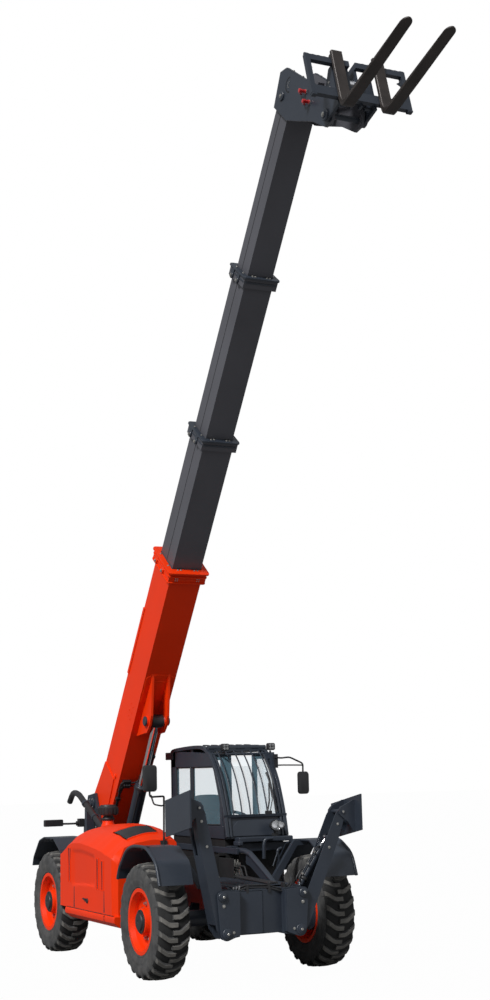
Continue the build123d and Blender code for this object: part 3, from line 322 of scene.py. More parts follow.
class Shape:
    """Vertices and faces of a piece, collected part by part."""

    def __init__(self):
        self.verts, self.faces, self.kinds, self.kind = [], [], [], 0

    def add(self, verts, faces):
        n = len(self.verts)
        self.verts += [tuple(v) for v in verts]
        self.faces += [tuple(n + i for i in f) for f in faces]
        self.kinds += [self.kind] * len(faces)

    def prism(self, outline, offset):
        """Closed outline of points pushed along a vector."""
        n, off = len(outline), Vector(offset)
        self.add([Vector(p) for p in outline] + [Vector(p) + off for p in outline],
                 [tuple(range(n))[::-1], tuple(range(n, 2 * n))]
                 + [(i, (i + 1) % n, n + (i + 1) % n, n + i) for i in range(n)])

    def plate(self, axis, level, outline, thick):
        """Flat outline at one x, y or z, pushed along that axis."""
        i = "xyz".index(axis)
        offset = [0, 0, 0]
        offset[i] = thick
        self.prism([at(*(*q[:i], level, *q[i:])) for q in outline], offset)

    def box(self, lo, hi):
        (x0, y0, z0), (x1, y1, z1) = at(*lo), at(*hi)
        self.prism([(x0, y0, z0), (x1, y0, z0), (x1, y1, z0), (x0, y1, z0)], (0, 0, z1 - z0))

    def skin(self, rows, close=False, cap=False):
        """Surface through rows of points; close joins each row's end to its start."""
        m = len(rows[0])
        faces = [(r * m + i, r * m + (i + 1) % m, (r + 1) * m + (i + 1) % m, (r + 1) * m + i)
                 for r in range(len(rows) - 1) for i in range(m if close else m - 1)]
        if cap:
            faces += [tuple(range(m))[::-1], tuple((len(rows) - 1) * m + i for i in range(m))]
        self.add([p for row in rows for p in row], faces)

    def turned(self, profile, centre, axis, segments=32, spin=0.0):
        """Solid of revolution: profile of (along, radius) about an axis through centre."""
        axis = Vector(axis).normalized()
        side = axis.orthogonal().normalized()
        other = axis.cross(side)
        rows = []
        for a, r in profile:
            rows.append([Vector(centre) + axis * a + (side * cos(t) + other * sin(t)) * r
                         for t in turns(segments, spin)])
        hoop = profile[0] == profile[-1]
        self.skin(rows, close=True, cap=not hoop)

    def tube(self, points, radius, corner=3.0):
        """Bent tube: straight runs with rounded corners of corner x radius."""
        pts = [Vector(p) for p in points]
        path = [pts[0]]
        for a, b, c in zip(pts, pts[1:], pts[2:]):
            u, v = (a - b), (c - b)
            cut = min(corner * radius, u.length * 0.45, v.length * 0.45)
            p0, p1 = b + u.normalized() * cut, b + v.normalized() * cut
            path += [p0.lerp(b, t).lerp(b.lerp(p1, t), t) for t in (0, 0.2, 0.4, 0.6, 0.8, 1)]
        path.append(pts[-1])
        sides = 12 if radius > 0.008 else 8
        rows, side = [], None
        for i, q in enumerate(path):
            way = (path[min(i + 1, len(path) - 1)] - path[max(i - 1, 0)]).normalized()
            side = way.orthogonal() if side is None else side - way * side.dot(way)
            side.normalize()
            other = way.cross(side)
            rows.append([q + (side * cos(t) + other * sin(t)) * radius for t in turns(sides)])
        self.skin(rows, close=True, cap=True)

    def hex_bolt(self, centre, axis, size=0.012, height=0.009, washer=True):
        if washer:
            self.turned([(0, size * 1.45), (height * 0.3, size * 1.45), (height * 0.3, size)], centre, axis, 16)
        self.turned([(0, size), (height * 0.8, size), (height, size * 0.85)], centre, axis, 6)

    def mesh(self, name):
        m = bpy.data.meshes.new(name)
        m.from_pydata(self.verts, [], self.faces)
        for poly, kind in zip(m.polygons, self.kinds):
            poly.material_index = kind
        bm = bmesh.new()
        bm.from_mesh(m)
        bmesh.ops.recalc_face_normals(bm, faces=bm.faces)
        bm.to_mesh(m)
        bm.free()
        m.update()
        return m


def make(name, shape, material, body="machine", bevel=0.0, smooth=30):
    """Piece from a shape, with its edges rounded by bevel."""
    obj = piece(name, shape.mesh(name), material, body, smooth)
    if bevel:
        soften(obj, bevel)
    return obj


def pipe(name, points, radius, material, body="machine", corner=3.0):
    """Bent tube that is a piece of its own."""
    shape = Shape()
    shape.tube(points, radius, corner)
    return make(name, shape, material, body, smooth=50)


# ---------------------------------------------------------------- tyres
LUGS = 24
TREAD_HALF, SIDE_HALF, LUG_HIGH = 0.165, 0.188, 0.030


def tread_top(x):
    return TYRE_R - 0.001 - 0.014 * (x / TREAD_HALF) ** 2


def tyre_mesh(centre, name):
    base = TYRE_R - LUG_HIGH
    # half profile from the bead over the sidewall to the crown: (x, radius)
    half = [(0.158, 0.325), (0.163, 0.338), (0.166, 0.350), (0.171, 0.352), (0.174, 0.360), (0.172, 0.366),
            (0.178, 0.385),
            (0.1835, 0.415), (0.186, 0.428), (0.1845, 0.434), (0.187, 0.450), (SIDE_HALF, 0.478), (0.1875, 0.500),
            (0.183, 0.525), (0.173, base - 0.028), (0.152, base - 0.012), (0.110, base - 0.004), (0.055, base),
            (0, base + 0.001)]
    profile = half + [(-x, r) for x, r in half[-2::-1]]
    shape = Shape()
    count = 120
    rows = [[(centre.x + x, centre.y - r * cos(t), centre.z + r * sin(t)) for x, r in profile]
            for t in turns(count)]
    shape.skin(rows + rows[:1])
    tread = len(profile)
    # crown faces between the lugs get the darker groove rubber, painted shade in the grooves
    for k, f in enumerate(shape.faces):
        shape.kinds[k] = 2 if 14 <= k % (tread - 1) <= tread - 16 else 0
    inner = [[(centre.x + x, centre.y - 0.325 * cos(t), centre.z + 0.325 * sin(t)) for x in (-0.158, 0.158)]
             for t in turns(count)]
    shape.skin(inner + inner[:1])
    for half_side in (-1, 1):
        for k in range(LUGS):
            start = 2 * pi * (k + (0.5 if half_side > 0 else 0)) / LUGS
            rows = []
            # stations along the lug: (outward, swept arc, drop of its top, half width at the top)
            for out, swept, drop, wide in ((-0.026, 0.000, 0.0, 0.0225), (0.045, 0.000, 0.0, 0.0235),
                                           (0.075, 0.010, 0.0, 0.024),
                                           (0.148, 0.062, 0.002, 0.026), (0.170, 0.080, 0.018, 0.028),
                                           (0.184, 0.088, 0.052, 0.030),
                                           (0.1885, 0.090, 0.088, 0.033)):
                x = half_side * out
                top = tread_top(min(abs(out), TREAD_HALF)) - drop
                low = min(base - 0.006, top - 0.004) if out < 0.16 else top - 0.030
                foot = wide + (0.009 if out < 0.18 else 0.004)
                ring = []
                for r, w in ((low, -foot), (top - 0.003, -wide), (top, -wide + 0.004), (top, wide - 0.004),
                             (top - 0.003, wide), (low, foot)):
                    t = start + (swept + w) / TYRE_R
                    ring.append((centre.x + x, centre.y - r * cos(t), centre.z + r * sin(t)))
                rows.append(ring)
            first = len(shape.faces)
            shape.skin(rows, close=True, cap=True)
            for k in range(first, len(shape.faces) - 2):
                shape.kinds[k] = 1 if (k - first) % 6 in (1, 2, 3) and (k - first) // 6 < 4 else 0
    return shape.mesh(name)


for corner, centre in WHEEL.items():
    tyre = piece("tread_" + corner, tyre_mesh(centre, "tread_" + corner), [RUBBER, TREAD, GROOVE_SHADE], "wheel_" + corner,
                 smooth=28)
    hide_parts("tyre_" + corner)

# hub caps, wheel nuts and valves on the outer face of each wheel
for corner, centre in WHEEL.items():
    out = 1 if centre.x > 0 else -1
    axis = (out, 0, 0)
    hub = Shape()
    disc = centre.x + out * 0.066
    cap = centre.x + out * 0.152
    hub.turned([(0, 0.122), (0.010, 0.122), (0.013, 0.118), (0.013, 0.094), (0.024, 0.092), (0.031, 0.086),
                (0.033, 0.074),
                (0.033, 0.020), (0.029, 0.016)], (cap, centre.y, centre.z), axis, 40)
    for k in range(6):
        t = 2 * pi * k / 6 + 0.4
        hub.hex_bolt((cap + out * 0.013, centre.y + 0.107 * cos(t), centre.z + 0.107 * sin(t)), axis, 0.007, 0.006)
    make("hub_cap_" + corner, hub, BLACK, "wheel_" + corner, smooth=35)
    nuts = Shape()
    for k in range(10):
        t = 2 * pi * k / 10
        nuts.hex_bolt((disc, centre.y + 0.185 * cos(t), centre.z + 0.185 * sin(t)), axis, 0.016, 0.028)
    valve = 2.4
    nuts.turned([(0, 0.006), (0.030, 0.006), (0.032, 0.0045), (0.045, 0.0045)],
                (centre.x + out * 0.085, centre.y + 0.262 * cos(valve), centre.z + 0.262 * sin(valve)), axis, 10)
    make("wheel_nuts_" + corner, nuts, ZINC, "wheel_" + corner, smooth=35)

# ---------------------------------------------------------------- engine pod
POD_SIDE = -1.155
# (y, crease height, (x, z) over the bonnet from the facet's top edge inwards)
POD_ROWS = [
    (0.715, 1.150, [(-1.030, 1.328), (-0.800, 1.388), (-0.600, 1.398), (-0.430, 1.385)]),
    (0.785, 1.213, [(-1.022, 1.340), (-0.800, 1.412), (-0.600, 1.430), (-0.430, 1.415)]),
    (0.950, 1.240, [(-1.005, 1.368), (-0.800, 1.455), (-0.600, 1.480), (-0.430, 1.465)]),
    (1.150, 1.279, [(-1.000, 1.410), (-0.800, 1.492), (-0.600, 1.520), (-0.430, 1.505)]),
    (1.350, 1.303, [(-1.000, 1.428), (-0.800, 1.512), (-0.600, 1.543), (-0.430, 1.525)]),
    (1.600, 1.328, [(-1.000, 1.443), (-0.800, 1.524), (-0.600, 1.553), (-0.430, 1.535)]),
    (1.850, 1.345, [(-1.000, 1.449), (-0.800, 1.522), (-0.600, 1.550), (-0.430, 1.530)]),
    (2.100, 1.338, [(-1.000, 1.445), (-0.800, 1.512), (-0.600, 1.538), (-0.430, 1.518)]),
    (2.260, 1.312, [(-1.000, 1.430), (-0.800, 1.497), (-0.600, 1.522), (-0.430, 1.502)]),
    (2.380, 1.255, [(-1.000, 1.405), (-0.800, 1.478), (-0.600, 1.505), (-0.430, 1.485)]),
    (2.560, 1.190, [(-0.990, 1.350), (-0.800, 1.440), (-0.600, 1.470), (-0.430, 1.450)]),
]


def along(rows, y):
    """Row of the bonnet at y, between the given ones."""
    for (ya, ca, pa), (yb, cb, pb) in zip(rows, rows[1:]):
        if ya <= y <= yb:
            t = (y - ya) / (yb - ya)
            t = t * t * (3 - 2 * t) * 0.35 + t * 0.65
            return ca + (cb - ca) * t, [(xa + (xb - xa) * t, za + (zb - za) * t) for (xa, za), (xb, zb) in zip(pa, pb)]


def ramp(v, lo, hi):
    t = min(1, max(0, (v - lo) / (hi - lo)))
    return t * t * (3 - 2 * t)


def pod_side(y, z, crease):
    """Outer wall: pulled in at the front corner, and pressed in round the big panel."""
    x = POD_SIDE
    if y < 0.785:
        x += (0.785 - y) * 0.75
    low = 0.885 - 0.02 * ramp(y, 1.6, 2.2)
    dent = ramp(y, 1.335, 1.375) * (1 - ramp(y, 2.05, 2.19)) * ramp(z, low - 0.012,
                                                                    low + 0.018) * (1 - ramp(z, crease - 0.115,
                                                                                             crease - 0.06))
    return x + 0.016 * dent


pod = Shape()
ys = [0.715, 0.75, 0.785] + [0.785 + (2.56 - 0.785) * k / 96 for k in range(1, 97)]
outer = []
for y in ys:
    crease, over = along(POD_ROWS, y)
    zs = [0.600 + (crease - 0.600) * k / 44 for k in range(45)]
    row = [at(pod_side(y, z, crease), y, z) for z in zs]
    (x0, z0), rest = over[0], over[1:]
    edge = row[-1]
    row += [edge.lerp(at(x0, y, z0), t) for t in (0.33, 0.67, 1.0)]
    last = over[0]
    for nxt in rest:
        for t in (0.34, 0.67, 1.0):
            row.append(at(last[0] + (nxt[0] - last[0]) * t, y, last[1] + (nxt[1] - last[1]) * t + 0.010 * sin(pi * t)))
        last = nxt
    row += [at(-0.405, y, last[1] - 0.020), at(-0.402, y, last[1] - 0.060), at(-0.402, y, 0.980)]
    outer.append(row)
pod.skin(outer)
# front and rear walls close the shell
for row in (outer[0], outer[-1]):
    pod.skin([row, [Vector((p.x, row[0].y, 0.60 if p.x < -0.5 else 0.98)) for p in row]])
make("bonnet_shell", pod, ORANGE, smooth=24)
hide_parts("engine_hood")

trim = Shape()
# sill with a rounded lip and a chamfered underside
sill = [(-1.172, 0.566), (-1.166, 0.592), (-1.150, 0.600), (-0.70, 0.600), (-0.70, 0.478), (-1.100, 0.478),
        (-1.166, 0.530)]
trim.plate("y", 0.672, sill, 2.345 - 0.672)
make("pod_sill", trim, ORANGE, bevel=0.006)
seam = Shape()
seam.prism([at(-1.1735, 0.985, z) for z in (0.535, 0.590)] + [at(-1.140, 0.985, z) for z in (0.602, 0.530)],
           (0, 0.006, 0))
seam.box((-1.157, 0.76, 0.600), (-0.75, 2.330, 0.606))
make("pod_gap", seam, BLACK)

# slots beside the panel, door gaps, latch
slots = Shape()
# these three black plates stand for open slots: painted shade of the openings
for y0, y1, z0, z1, lean in ((1.222, 1.262, 0.865, 1.190, 0.004), (1.066, 1.106, 0.862, 1.172, 0.004),
                             (2.205, 2.262, 0.900, 1.275, -0.030)):
    slots.plate("x", -1.150, [(y0, z0), (y1 - abs(lean), z0), (y1, z1), (y0 + lean, z1)], -0.0065)
for y0, y1, z0, z1 in ((1.018, 1.040, 0.618, 0.858), (2.040, 2.066, 0.612, 0.845)):
    slots.plate("x", -1.150, [(y0 - 0.006, z0), (y1 + 0.006, z0), (y1 - 0.006, z1), (y0 + 0.004, z1)], -0.0062)
make("pod_slots", slots, BLACK, bevel=0.002)
frames = Shape()
for y0, y1, z0, z1 in ((1.222, 1.262, 0.865, 1.190), (1.066, 1.106, 0.862, 1.172), (2.205, 2.262, 0.900, 1.275)):
    for a, b in ((y0 - 0.020, y0 - 0.001), (y1 + 0.001, y1 + 0.012)):
        frames.plate("x", -1.152, [(a, z0 - 0.012), (b, z0 - 0.012), (b, z1 + 0.012), (a, z1 + 0.012)], -0.010)
make("slot_frames", frames, ORANGE, bevel=0.004)
latch = Shape()
latch.turned([(0, 0.030), (0.006, 0.030), (0.012, 0.024), (0.016, 0.012)], at(-1.155, 1.585, 0.712), (-1, 0, 0), 24)
latch.plate("x", -1.160, [(1.60, 0.735), (1.60, 0.712), (1.700, 0.722), (1.700, 0.738)], -0.018)
latch.plate("x", -1.155, [(1.56, 0.730), (1.56, 0.700), (1.62, 0.700), (1.62, 0.730)], -0.012)
make("pod_latch", latch, BLACK, bevel=0.004)


def pod_top(x, y):
    crease, over = along(POD_ROWS, y)
    for (xa, za), (xb, zb) in zip(over, over[1:]):
        if xa <= x <= xb:
            t = (x - xa) / (xb - xa)
            return za + (zb - za) * t + 0.010 * sin(pi * t)
    return over[-1][1]


# louvred grille let into the bonnet, in a raised frame
GRILLE = [(-0.93, 0.895), (-0.93, 1.330), (-0.560, 1.250), (-0.560, 0.895)]


def on_grille(u, v, lift):
    (xa, ya), (xb, yb), (xc, yc), (xd, yd) = GRILLE
    x = xa + (xd - xa) * u
    y = (ya + (yd - ya) * u) * (1 - v) + (yb + (yc - yb) * u) * v
    return at(x, y, pod_top(x, y) + lift)


grille = Shape()
grille.skin([[on_grille(u / 12, v / 12, 0.004) for u in range(13)] for v in range(13)])
for k in range(1, 22):
    v = k / 22
    rows = [[on_grille(0.01 + 0.98 * u / 12, v + dv, lift) for u in range(13)] for dv,
            lift in ((-0.012, 0.0045), (0.0, 0.0095), (0.014, 0.0045))]
    grille.skin(rows)
make("bonnet_grille", grille, BLACK, smooth=15)
rim_band = Shape()
steps = [(0, 0), (1, 0), (1, 1), (0, 1)]
for (ua, va), (ub, vb) in zip(steps, steps[1:] + steps[:1]):
    rows = []
    for k in range(13):
        u, v = ua + (ub - ua) * k / 12, va + (vb - va) * k / 12
        du = (-1 if u < 0.5 else 1) * 0.030 if ua == ub else 0
        dv = (-1 if v < 0.5 else 1) * 0.026 if va == vb else 0
        rows.append([on_grille(min(1, max(0, u)), min(0.999, max(0.001, v)), 0.003), on_grille(u, v, 0.014),
                     on_grille(min(1.0, max(0, u + du)), min(1.03, max(-0.03, v + dv)), 0.014),
                     on_grille(min(1.0, max(0, u + du)), min(1.03, max(-0.03, v + dv)), -0.004)])
    rim_band.skin(rows)
make("grille_frame", rim_band, ORANGE, smooth=30)

# ---------------------------------------------------------------- cab
NEAR, FAR = 0.205, 0.955
# side arch of the cab, rear roof to front foot: (y, z)
ARCH = [(2.290, 2.330), (2.240, 2.380), (1.940, 2.402), (1.552, 2.414), (1.350, 2.405), (1.230, 2.370),
        (1.120, 2.300), (1.000, 2.175),
        (0.900, 2.030), (0.835, 1.890), (0.765, 1.710), (0.715, 1.540), (0.680, 1.390)]
ROOF_Z, SILL_Z, FOOT_Z = 2.415, 1.500, 1.372


def smooth_path(points, steps=4):
    """Catmull-Rom points through the given ones."""
    pts = [Vector(q) for q in points]
    pts = [pts[0] * 2 - pts[1]] + pts + [pts[-1] * 2 - pts[-2]]
    out = []
    for a, b, c, d in zip(pts, pts[1:], pts[2:], pts[3:]):
        for k in range(steps):
            t = k / steps
            out.append(0.5 * (2 * b + (c - a) * t + (2 * a - 5 * b + 4 * c - d) * t * t + (3 * b - a - 3 * c + d) * t ** 3))
    return out + [pts[-2]]


arch_line = smooth_path([(0, y, z) for y, z in ARCH])


def arch_at(x, inset=0.0):
    """The arch moved inwards by inset, at one x."""
    out = []
    for i, q in enumerate(arch_line):
        way = (arch_line[min(i + 1, len(arch_line) - 1)] - arch_line[max(i - 1, 0)]).normalized()
        normal = Vector((0, -way.z, way.y))
        out.append(at(x, q.y + normal.y * inset, q.z + normal.z * inset))
    return out


def band(shape, x0, x1, out_by, deep):
    """Flat strip that follows the arch, x0 to x1 wide."""
    rows = [arch_at(x0, -out_by), arch_at(x1, -out_by), arch_at(x1, deep), arch_at(x0, deep)]
    shape.skin([list(r) for r in zip(*rows)], close=True, cap=True)


frame_cab = Shape()
for x, s in ((NEAR, 1), (FAR, -1)):
    band(frame_cab, x - s * 0.020, x + s * 0.022, 0.030, 0.012)
    band(frame_cab, x + s * 0.034, x + s * 0.062, 0.022, 0.010)
    band(frame_cab, x + s * 0.020, x + s * 0.036, 0.006, 0.016)
make("cab_arches", frame_cab, NAVY, bevel=0.005, smooth=40)

shell = Shape()
x0, x1 = NEAR - 0.005, FAR + 0.005
# side and rear walls below the windows, with corner posts
for x, s in ((x0, 1), (x1, -1)):
    t = (s * 0.035, 0, 0)
    if s > 0:
        shell.prism([at(x, 0.690, FOOT_Z), at(x, 0.725, 1.520), at(x, 2.300, 1.500), at(x, 2.330, FOOT_Z)], t)
        shell.plate("x", x + 0.012, [(1.655, 1.49), (1.655, 2.400), (1.725, 2.400), (1.725, 1.49)], 0.028)
        shell.prism([at(x, 1.02, 2.190), at(x, 1.180, 2.350), at(x, 2.300, 2.390), at(x, 2.300, 2.190),
                     at(x, 1.04, 2.190)], t)
        shell.prism([at(x, 0.80, 1.505), at(x, 0.86, 1.505), at(x, 0.87, 1.780), at(x, 1.05, 2.20), at(x, 1.00, 2.20),
                     at(x, 0.84, 1.83)], t)
    shell.prism([at(x, 2.170, 1.49), at(x, 2.300, 1.49), at(x, 2.300, 2.392), at(x, 2.170, 2.392)], t)
for xa, xb in ((x0, x0 + 0.09), (x1 - 0.09, x1)):
    shell.box((xa, 2.270, 1.49), (xb, 2.325, 2.385))
shell.box((x0, 2.275, FOOT_Z), (x1, 2.325, 1.520))
shell.box((x0, 2.275, 2.270), (x1, 2.325, 2.390))
# roof sheet with pressed ribs, rear visor
roof = [[at(x0 + (x1 - x0) * u / 20, y, z + (0.012 if 2 < u % 5 and 1 < u < 19 else 0.0)) for u in range(21)]
        for y, z in ((1.160, 2.385), (1.200, 2.405), (1.552, 2.412), (1.940, 2.408), (2.260, 2.400), (2.325, 2.385),
                     (2.325, 2.350), (1.160, 2.355), (1.160, 2.385))]
shell.skin(roof)
shell.box((x0 - 0.012, 2.230, 2.285), (x1 + 0.005, 2.470, 2.375))
make("cab_shell", shell, NAVY, bevel=0.006, smooth=35)

lower = Shape()
lower.plate("x", x0, [(0.688, FOOT_Z), (0.738, 1.615), (0.790, 1.615), (0.740, FOOT_Z)], x1 - x0)
# raised pressing across the front panel
lower.prism([at(x0 + 0.075, 0.690, 1.400), at(x0 + 0.075, 0.712, 1.500), at(x0 + 0.16, 0.728, 1.580),
             at(x1 - 0.06, 0.728, 1.580), at(x1 - 0.045, 0.690, 1.400)], (0, -0.012, 0))
make("cab_front_panel", lower, NAVY, bevel=0.008, smooth=35)
bars = Shape()
bars.plate("x", x0 - 0.02, [(0.705, 1.612), (0.700, 1.640), (0.745, 1.642), (0.745, 1.612)], x1 - x0 + 0.04)
# front cross bars at the roof
for y, z, r in ((1.135, 2.330, 0.016), (1.190, 2.405, 0.030)):
    bars.tube([at(NEAR, y, z), at(FAR, y, z)], r)
# guard bars over the windscreen and the roof edge
for k in range(6):
    x = NEAR + 0.105 + k * (FAR - NEAR - 0.21) / 5
    line = arch_at(x, -0.030)[12:-9]
    bars.tube([at(x, 1.56, 2.440), *line[:: 3], at(x, 0.722, 1.640)], 0.0085, corner=6)
make("cab_guard_bars", bars, NAVY, smooth=50)

# window panes
panes = Shape()
front = [q for q in arch_line if q.z > 1.60 and q.y < 1.21]
panes.skin([[at(NEAR + 0.050 + (FAR - NEAR - 0.10) * u / 6, q.y + 0.010,
                q.z - 0.006) for u in range(7)] for q in front])
panes.skin([[at(x0 + 0.020, y, z) for y, z in row] for row in (((0.80, 1.52), (1.66, 1.51)),
                                                               ((0.84, 1.80), (1.66, 1.80)), ((1.02, 2.17),
                                                                                              (1.66, 2.19)))])
panes.skin([[at(x0 + 0.020, y, z) for y, z in row] for row in (((1.72, 1.51), (2.18, 1.50)),
                                                               ((1.72, 2.19), (2.18, 2.19)))])
panes.skin([[at(x, 2.300, z) for x in (x0 + 0.09, x1 - 0.09)] for z in (1.52, 2.27)])
panes.skin([[at(x1 - 0.020, y, z) for y, z in row] for row in (((1.52, 1.46), (2.18, 1.46)),
                                                               ((1.52, 2.19), (2.18, 2.19)))])
make("cab_panes", panes, GLASS, smooth=60)
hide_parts("cab_glass")
seal = Shape()
for loop in ([(0.83, 1.530), (1.650, 1.515), (1.650, 2.185), (1.050, 2.185), (0.865, 1.800)],
             [(1.730, 1.515), (2.165, 1.510), (2.165, 2.185), (1.730, 2.185)]):
    seal.tube([at(x0 + 0.014, *q) for q in loop + loop[:2]], 0.009)
for x in (NEAR + 0.062, FAR - 0.062):
    seal.tube([Vector((x, q.y, q.z)) for q in arch_at(x, -0.010)[22:-9]], 0.008)
make("window_seals", seal, BLACK, smooth=50)

# cab floor tub: closed sides that step over the frame rail, below the front panel; coloured near-black as painted shade
tub = Shape()
tub.box((0.215, 0.80, 0.960), (0.255, 2.30, FOOT_Z + 0.01))
tub.box((0.215, 0.80, 0.960), (0.420, 2.30, 0.995))
tub.box((0.405, 0.80, 0.650), (0.440, 2.30, 0.990))
tub.box((0.405, 0.80, 0.645), (0.955, 2.12, 0.680))
tub.box((0.925, 0.76, 0.645), (0.958, 0.80, FOOT_Z + 0.01))
tub.box((0.925, 1.515, 0.690), (0.958, 2.300, 1.500))
tub.plate("y", 0.775, [(0.215, 0.960), (0.405, 0.960), (0.405, 0.650), (0.958, 0.650), (0.958, FOOT_Z + 0.01),
                       (0.215, FOOT_Z + 0.01)], 0.030)
tub.plate("y", 2.270, [(0.215, 0.960), (0.405, 0.960), (0.405, 0.800), (0.958, 0.900), (0.958, FOOT_Z + 0.01),
                       (0.215, FOOT_Z + 0.01)], 0.030)
make("cab_tub_painted_shade", tub, SEAM_DARK_AND_SHADE, bevel=0.006)
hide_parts("cab_frame")

# ---------------------------------------------------------------- lamps and mirrors
def case(shape, lo, hi, round_by=0.018, axis=1):
    """Moulded box with well rounded corners, its depth along y; the axis argument is not used."""
    (ax, ay, az), (bx, by, bz) = lo, hi
    cx, cz, hx, hz = (ax + bx) / 2, (az + bz) / 2, abs(bx - ax) / 2, abs(bz - az) / 2
    rows = []
    for t, pull in ((0.0, 0.35), (0.08, 0.08), (0.25, 0.0), (0.8, 0.0), (0.94, 0.12), (1.0, 0.55)):
        y = ay + (by - ay) * t
        ring = []
        for qx, qz, start in ((1, 1, 0), (-1, 1, 1), (-1, -1, 2), (1, -1, 3)):
            for k in range(5):
                a = (start + k / 4) * pi / 2
                r = round_by
                ring.append(Vector((cx + qx * (hx - r) + r * cos(a) - qx * pull * r, y,
                                    cz + qz * (hz - r) + r * sin(a) - qz * pull * r)))
        rows.append(ring)
    shape.skin(rows, close=True, cap=True)


fit = Shape()
for x in (0.340, 0.935):
    case(fit, at(x - 0.046, 0.960, 2.368), at(x + 0.046, 1.030, 2.452), 0.018)
    fit.tube([at(x, 1.01, 2.365), at(x, 1.01, 2.335), at(x, 1.12, 2.330)], 0.012)
    fit.hex_bolt(at(x + 0.046, 0.995, 2.40), (1, 0, 0), 0.009, 0.008)
    fit.hex_bolt(at(x - 0.046, 0.995, 2.40), (-1, 0, 0), 0.009, 0.008)
make("roof_lamp_cases", fit, BLACK, smooth=40)
fit = Shape()
for x in (0.340, 0.935):
    for dx in (-0.018, 0.018):
        for dz in (-0.017, 0.017):
            fit.turned([(0, 0.0155), (0.006, 0.0155), (0.010, 0.010), (0.011, 0.004)], at(x + dx, 0.963, 2.410 + dz),
                       (0, -1, 0), 16)
make("roof_lamp_lenses", fit, LENS)

mir = Shape()
case(mir, at(-0.828, 0.598, 1.930), at(-0.672, 0.668, 2.222), 0.034)
case(mir, at(1.098, 0.598, 1.855), at(1.232, 0.650, 2.112), 0.034)
mir.tube([at(-0.75, 0.64, 1.95), at(-0.75, 0.64, 1.872), at(-0.572, 0.655, 1.876), at(-0.560, 0.690, 1.840),
          at(-0.560, 0.705, 1.330)], 0.011)
mir.tube([at(-0.735, 0.64, 1.895), at(-0.700, 0.645, 1.790), at(-0.600, 0.655, 1.770), at(-0.560, 0.690, 1.780)], 0.009)
mir.tube([at(0.955, 0.98, 2.285), at(0.905, 0.66, 2.272), at(0.994, 0.625, 2.281), at(1.165, 0.620, 2.205),
          at(1.165, 0.625, 2.080)], 0.010)
mir.tube([at(0.955, 0.92, 2.190), at(0.915, 0.66, 2.191), at(1.100, 0.622, 2.187), at(1.160, 0.620, 2.185)], 0.008)
mir.box((-0.600, 0.703, 1.310), (-0.520, 0.713, 1.390))
mir.box((0.945, 0.86, 2.160), (0.962, 1.02, 2.320))
make("mirror_cases", mir, BLACK, smooth=40)
glint = Shape()
glint.plate("y", 0.6695, [(-0.815, 1.955), (-0.685, 1.955), (-0.685, 2.20), (-0.815, 2.20)], 0.001)
glint.plate("y", 0.6515, [(1.112, 1.880), (1.218, 1.880), (1.218, 2.088), (1.112, 2.088)], 0.001)
make("mirror_glass", glint, CHROME)
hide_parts("mirrors_and_lamps")

# ---------------------------------------------------------------- front of the cab and the frame below it
front = Shape()
front.box((0.300, 0.560, 1.334), (0.985, 0.700, 1.392))
front.box((0.285, 0.545, 1.350), (0.345, 0.700, 1.300))
make("cab_step_bar", front, NAVY, bevel=0.014)
under = Shape()
under.plate("y", 0.620, [(0.330, 1.230), (0.330, 1.325), (0.985, 1.325), (0.985, 1.300), (0.800, 1.235)], 0.030)
under.box((0.200, 0.420, 1.215), (0.232, 2.300, 1.285))
under.box((0.200, 0.60, 1.285), (0.300, 0.70, 1.300))
make("cab_rail", under, NAVY, bevel=0.006)
guard = Shape()
rows = []
for y, z, w in ((0.620, 1.256, 0.030), (0.450, 1.256, 0.032), (0.300, 1.250, 0.034), (0.180, 1.225, 0.036),
                (0.060, 1.170, 0.036), (-0.120, 1.085, 0.034), (-0.330, 0.985, 0.032), (-0.560, 0.870, 0.030)):
    c = at(0.262, y, z)
    rows.append([c + Vector((w * cos(t), 0.5 * w * sin(t), w * sin(t))) for t in turns(14)])
guard.skin(rows, close=True, cap=True)
rows = []
for y, z in ((0.300, 1.215), (0.180, 1.185), (0.060, 1.130), (-0.120, 1.050), (-0.330, 0.955), (-0.560, 0.840)):
    rows.append([at(0.255, y, z), at(0.270, y, z), at(0.270, y, z - 0.095), at(0.255, y, z - 0.095)])
guard.skin(rows, close=True, cap=True)
make("frame_guard", guard, NAVY, smooth=50)
deck = Shape()
deck.prism([at(-0.360, -0.66, 0.948), at(0.360, -0.66, 0.948), at(0.360, 0.55, 0.960), at(-0.360, 0.55, 0.960)],
           (0, 0, 0.008))
for k in range(4):
    deck.box((-0.22 + k * 0.12, -0.40, 0.955), (-0.17 + k * 0.12, 0.30, 0.966))
make("frame_deck", deck, NAVY, bevel=0.003)
# plates behind the valve block, near-black as painted shade under the cab
back = Shape()
back.box((-0.300, 0.690, 0.960), (0.190, 0.705, 1.200))
back.box((0.100, 0.300, 0.960), (0.112, 0.700, 1.180))
back.box((0.300, 0.580, 0.960), (0.312, 0.780, 1.230))
back.box((0.100, 0.690, 0.960), (0.420, 0.700, 1.225))
make("valve_cover_painted_shade", back, SEAM_DARK_AND_SHADE, bevel=0.004)
valves = Shape()
for k in range(5):
    x = 0.130 + 0.034 * k
    valves.box((x, 0.52, 1.00), (x + 0.026, 0.62, 1.120))
    valves.turned([(0, 0.010), (0.03, 0.010), (0.035, 0.006)], at(x + 0.013, 0.57, 1.120), (0, 0, 1), 12)
valves.box((0.120, 0.50, 0.962), (0.300, 0.64, 1.004))
make("valve_block", valves, ZINC, bevel=0.003)
for k in range(4):
    x = 0.142 + 0.034 * k
    pipe("valve_pipe_%d" % k, [at(x, 0.515, 1.03 + 0.02 * k), at(x, 0.40 - 0.03 * k, 1.03 + 0.02 * k),
                               at(x - 0.02, 0.30 - 0.03 * k, 0.985), at(x - 0.04, -0.10, 0.976),
                               at(x - 0.06, -0.62, 0.970)],
         0.0095, HOSE, "machine")

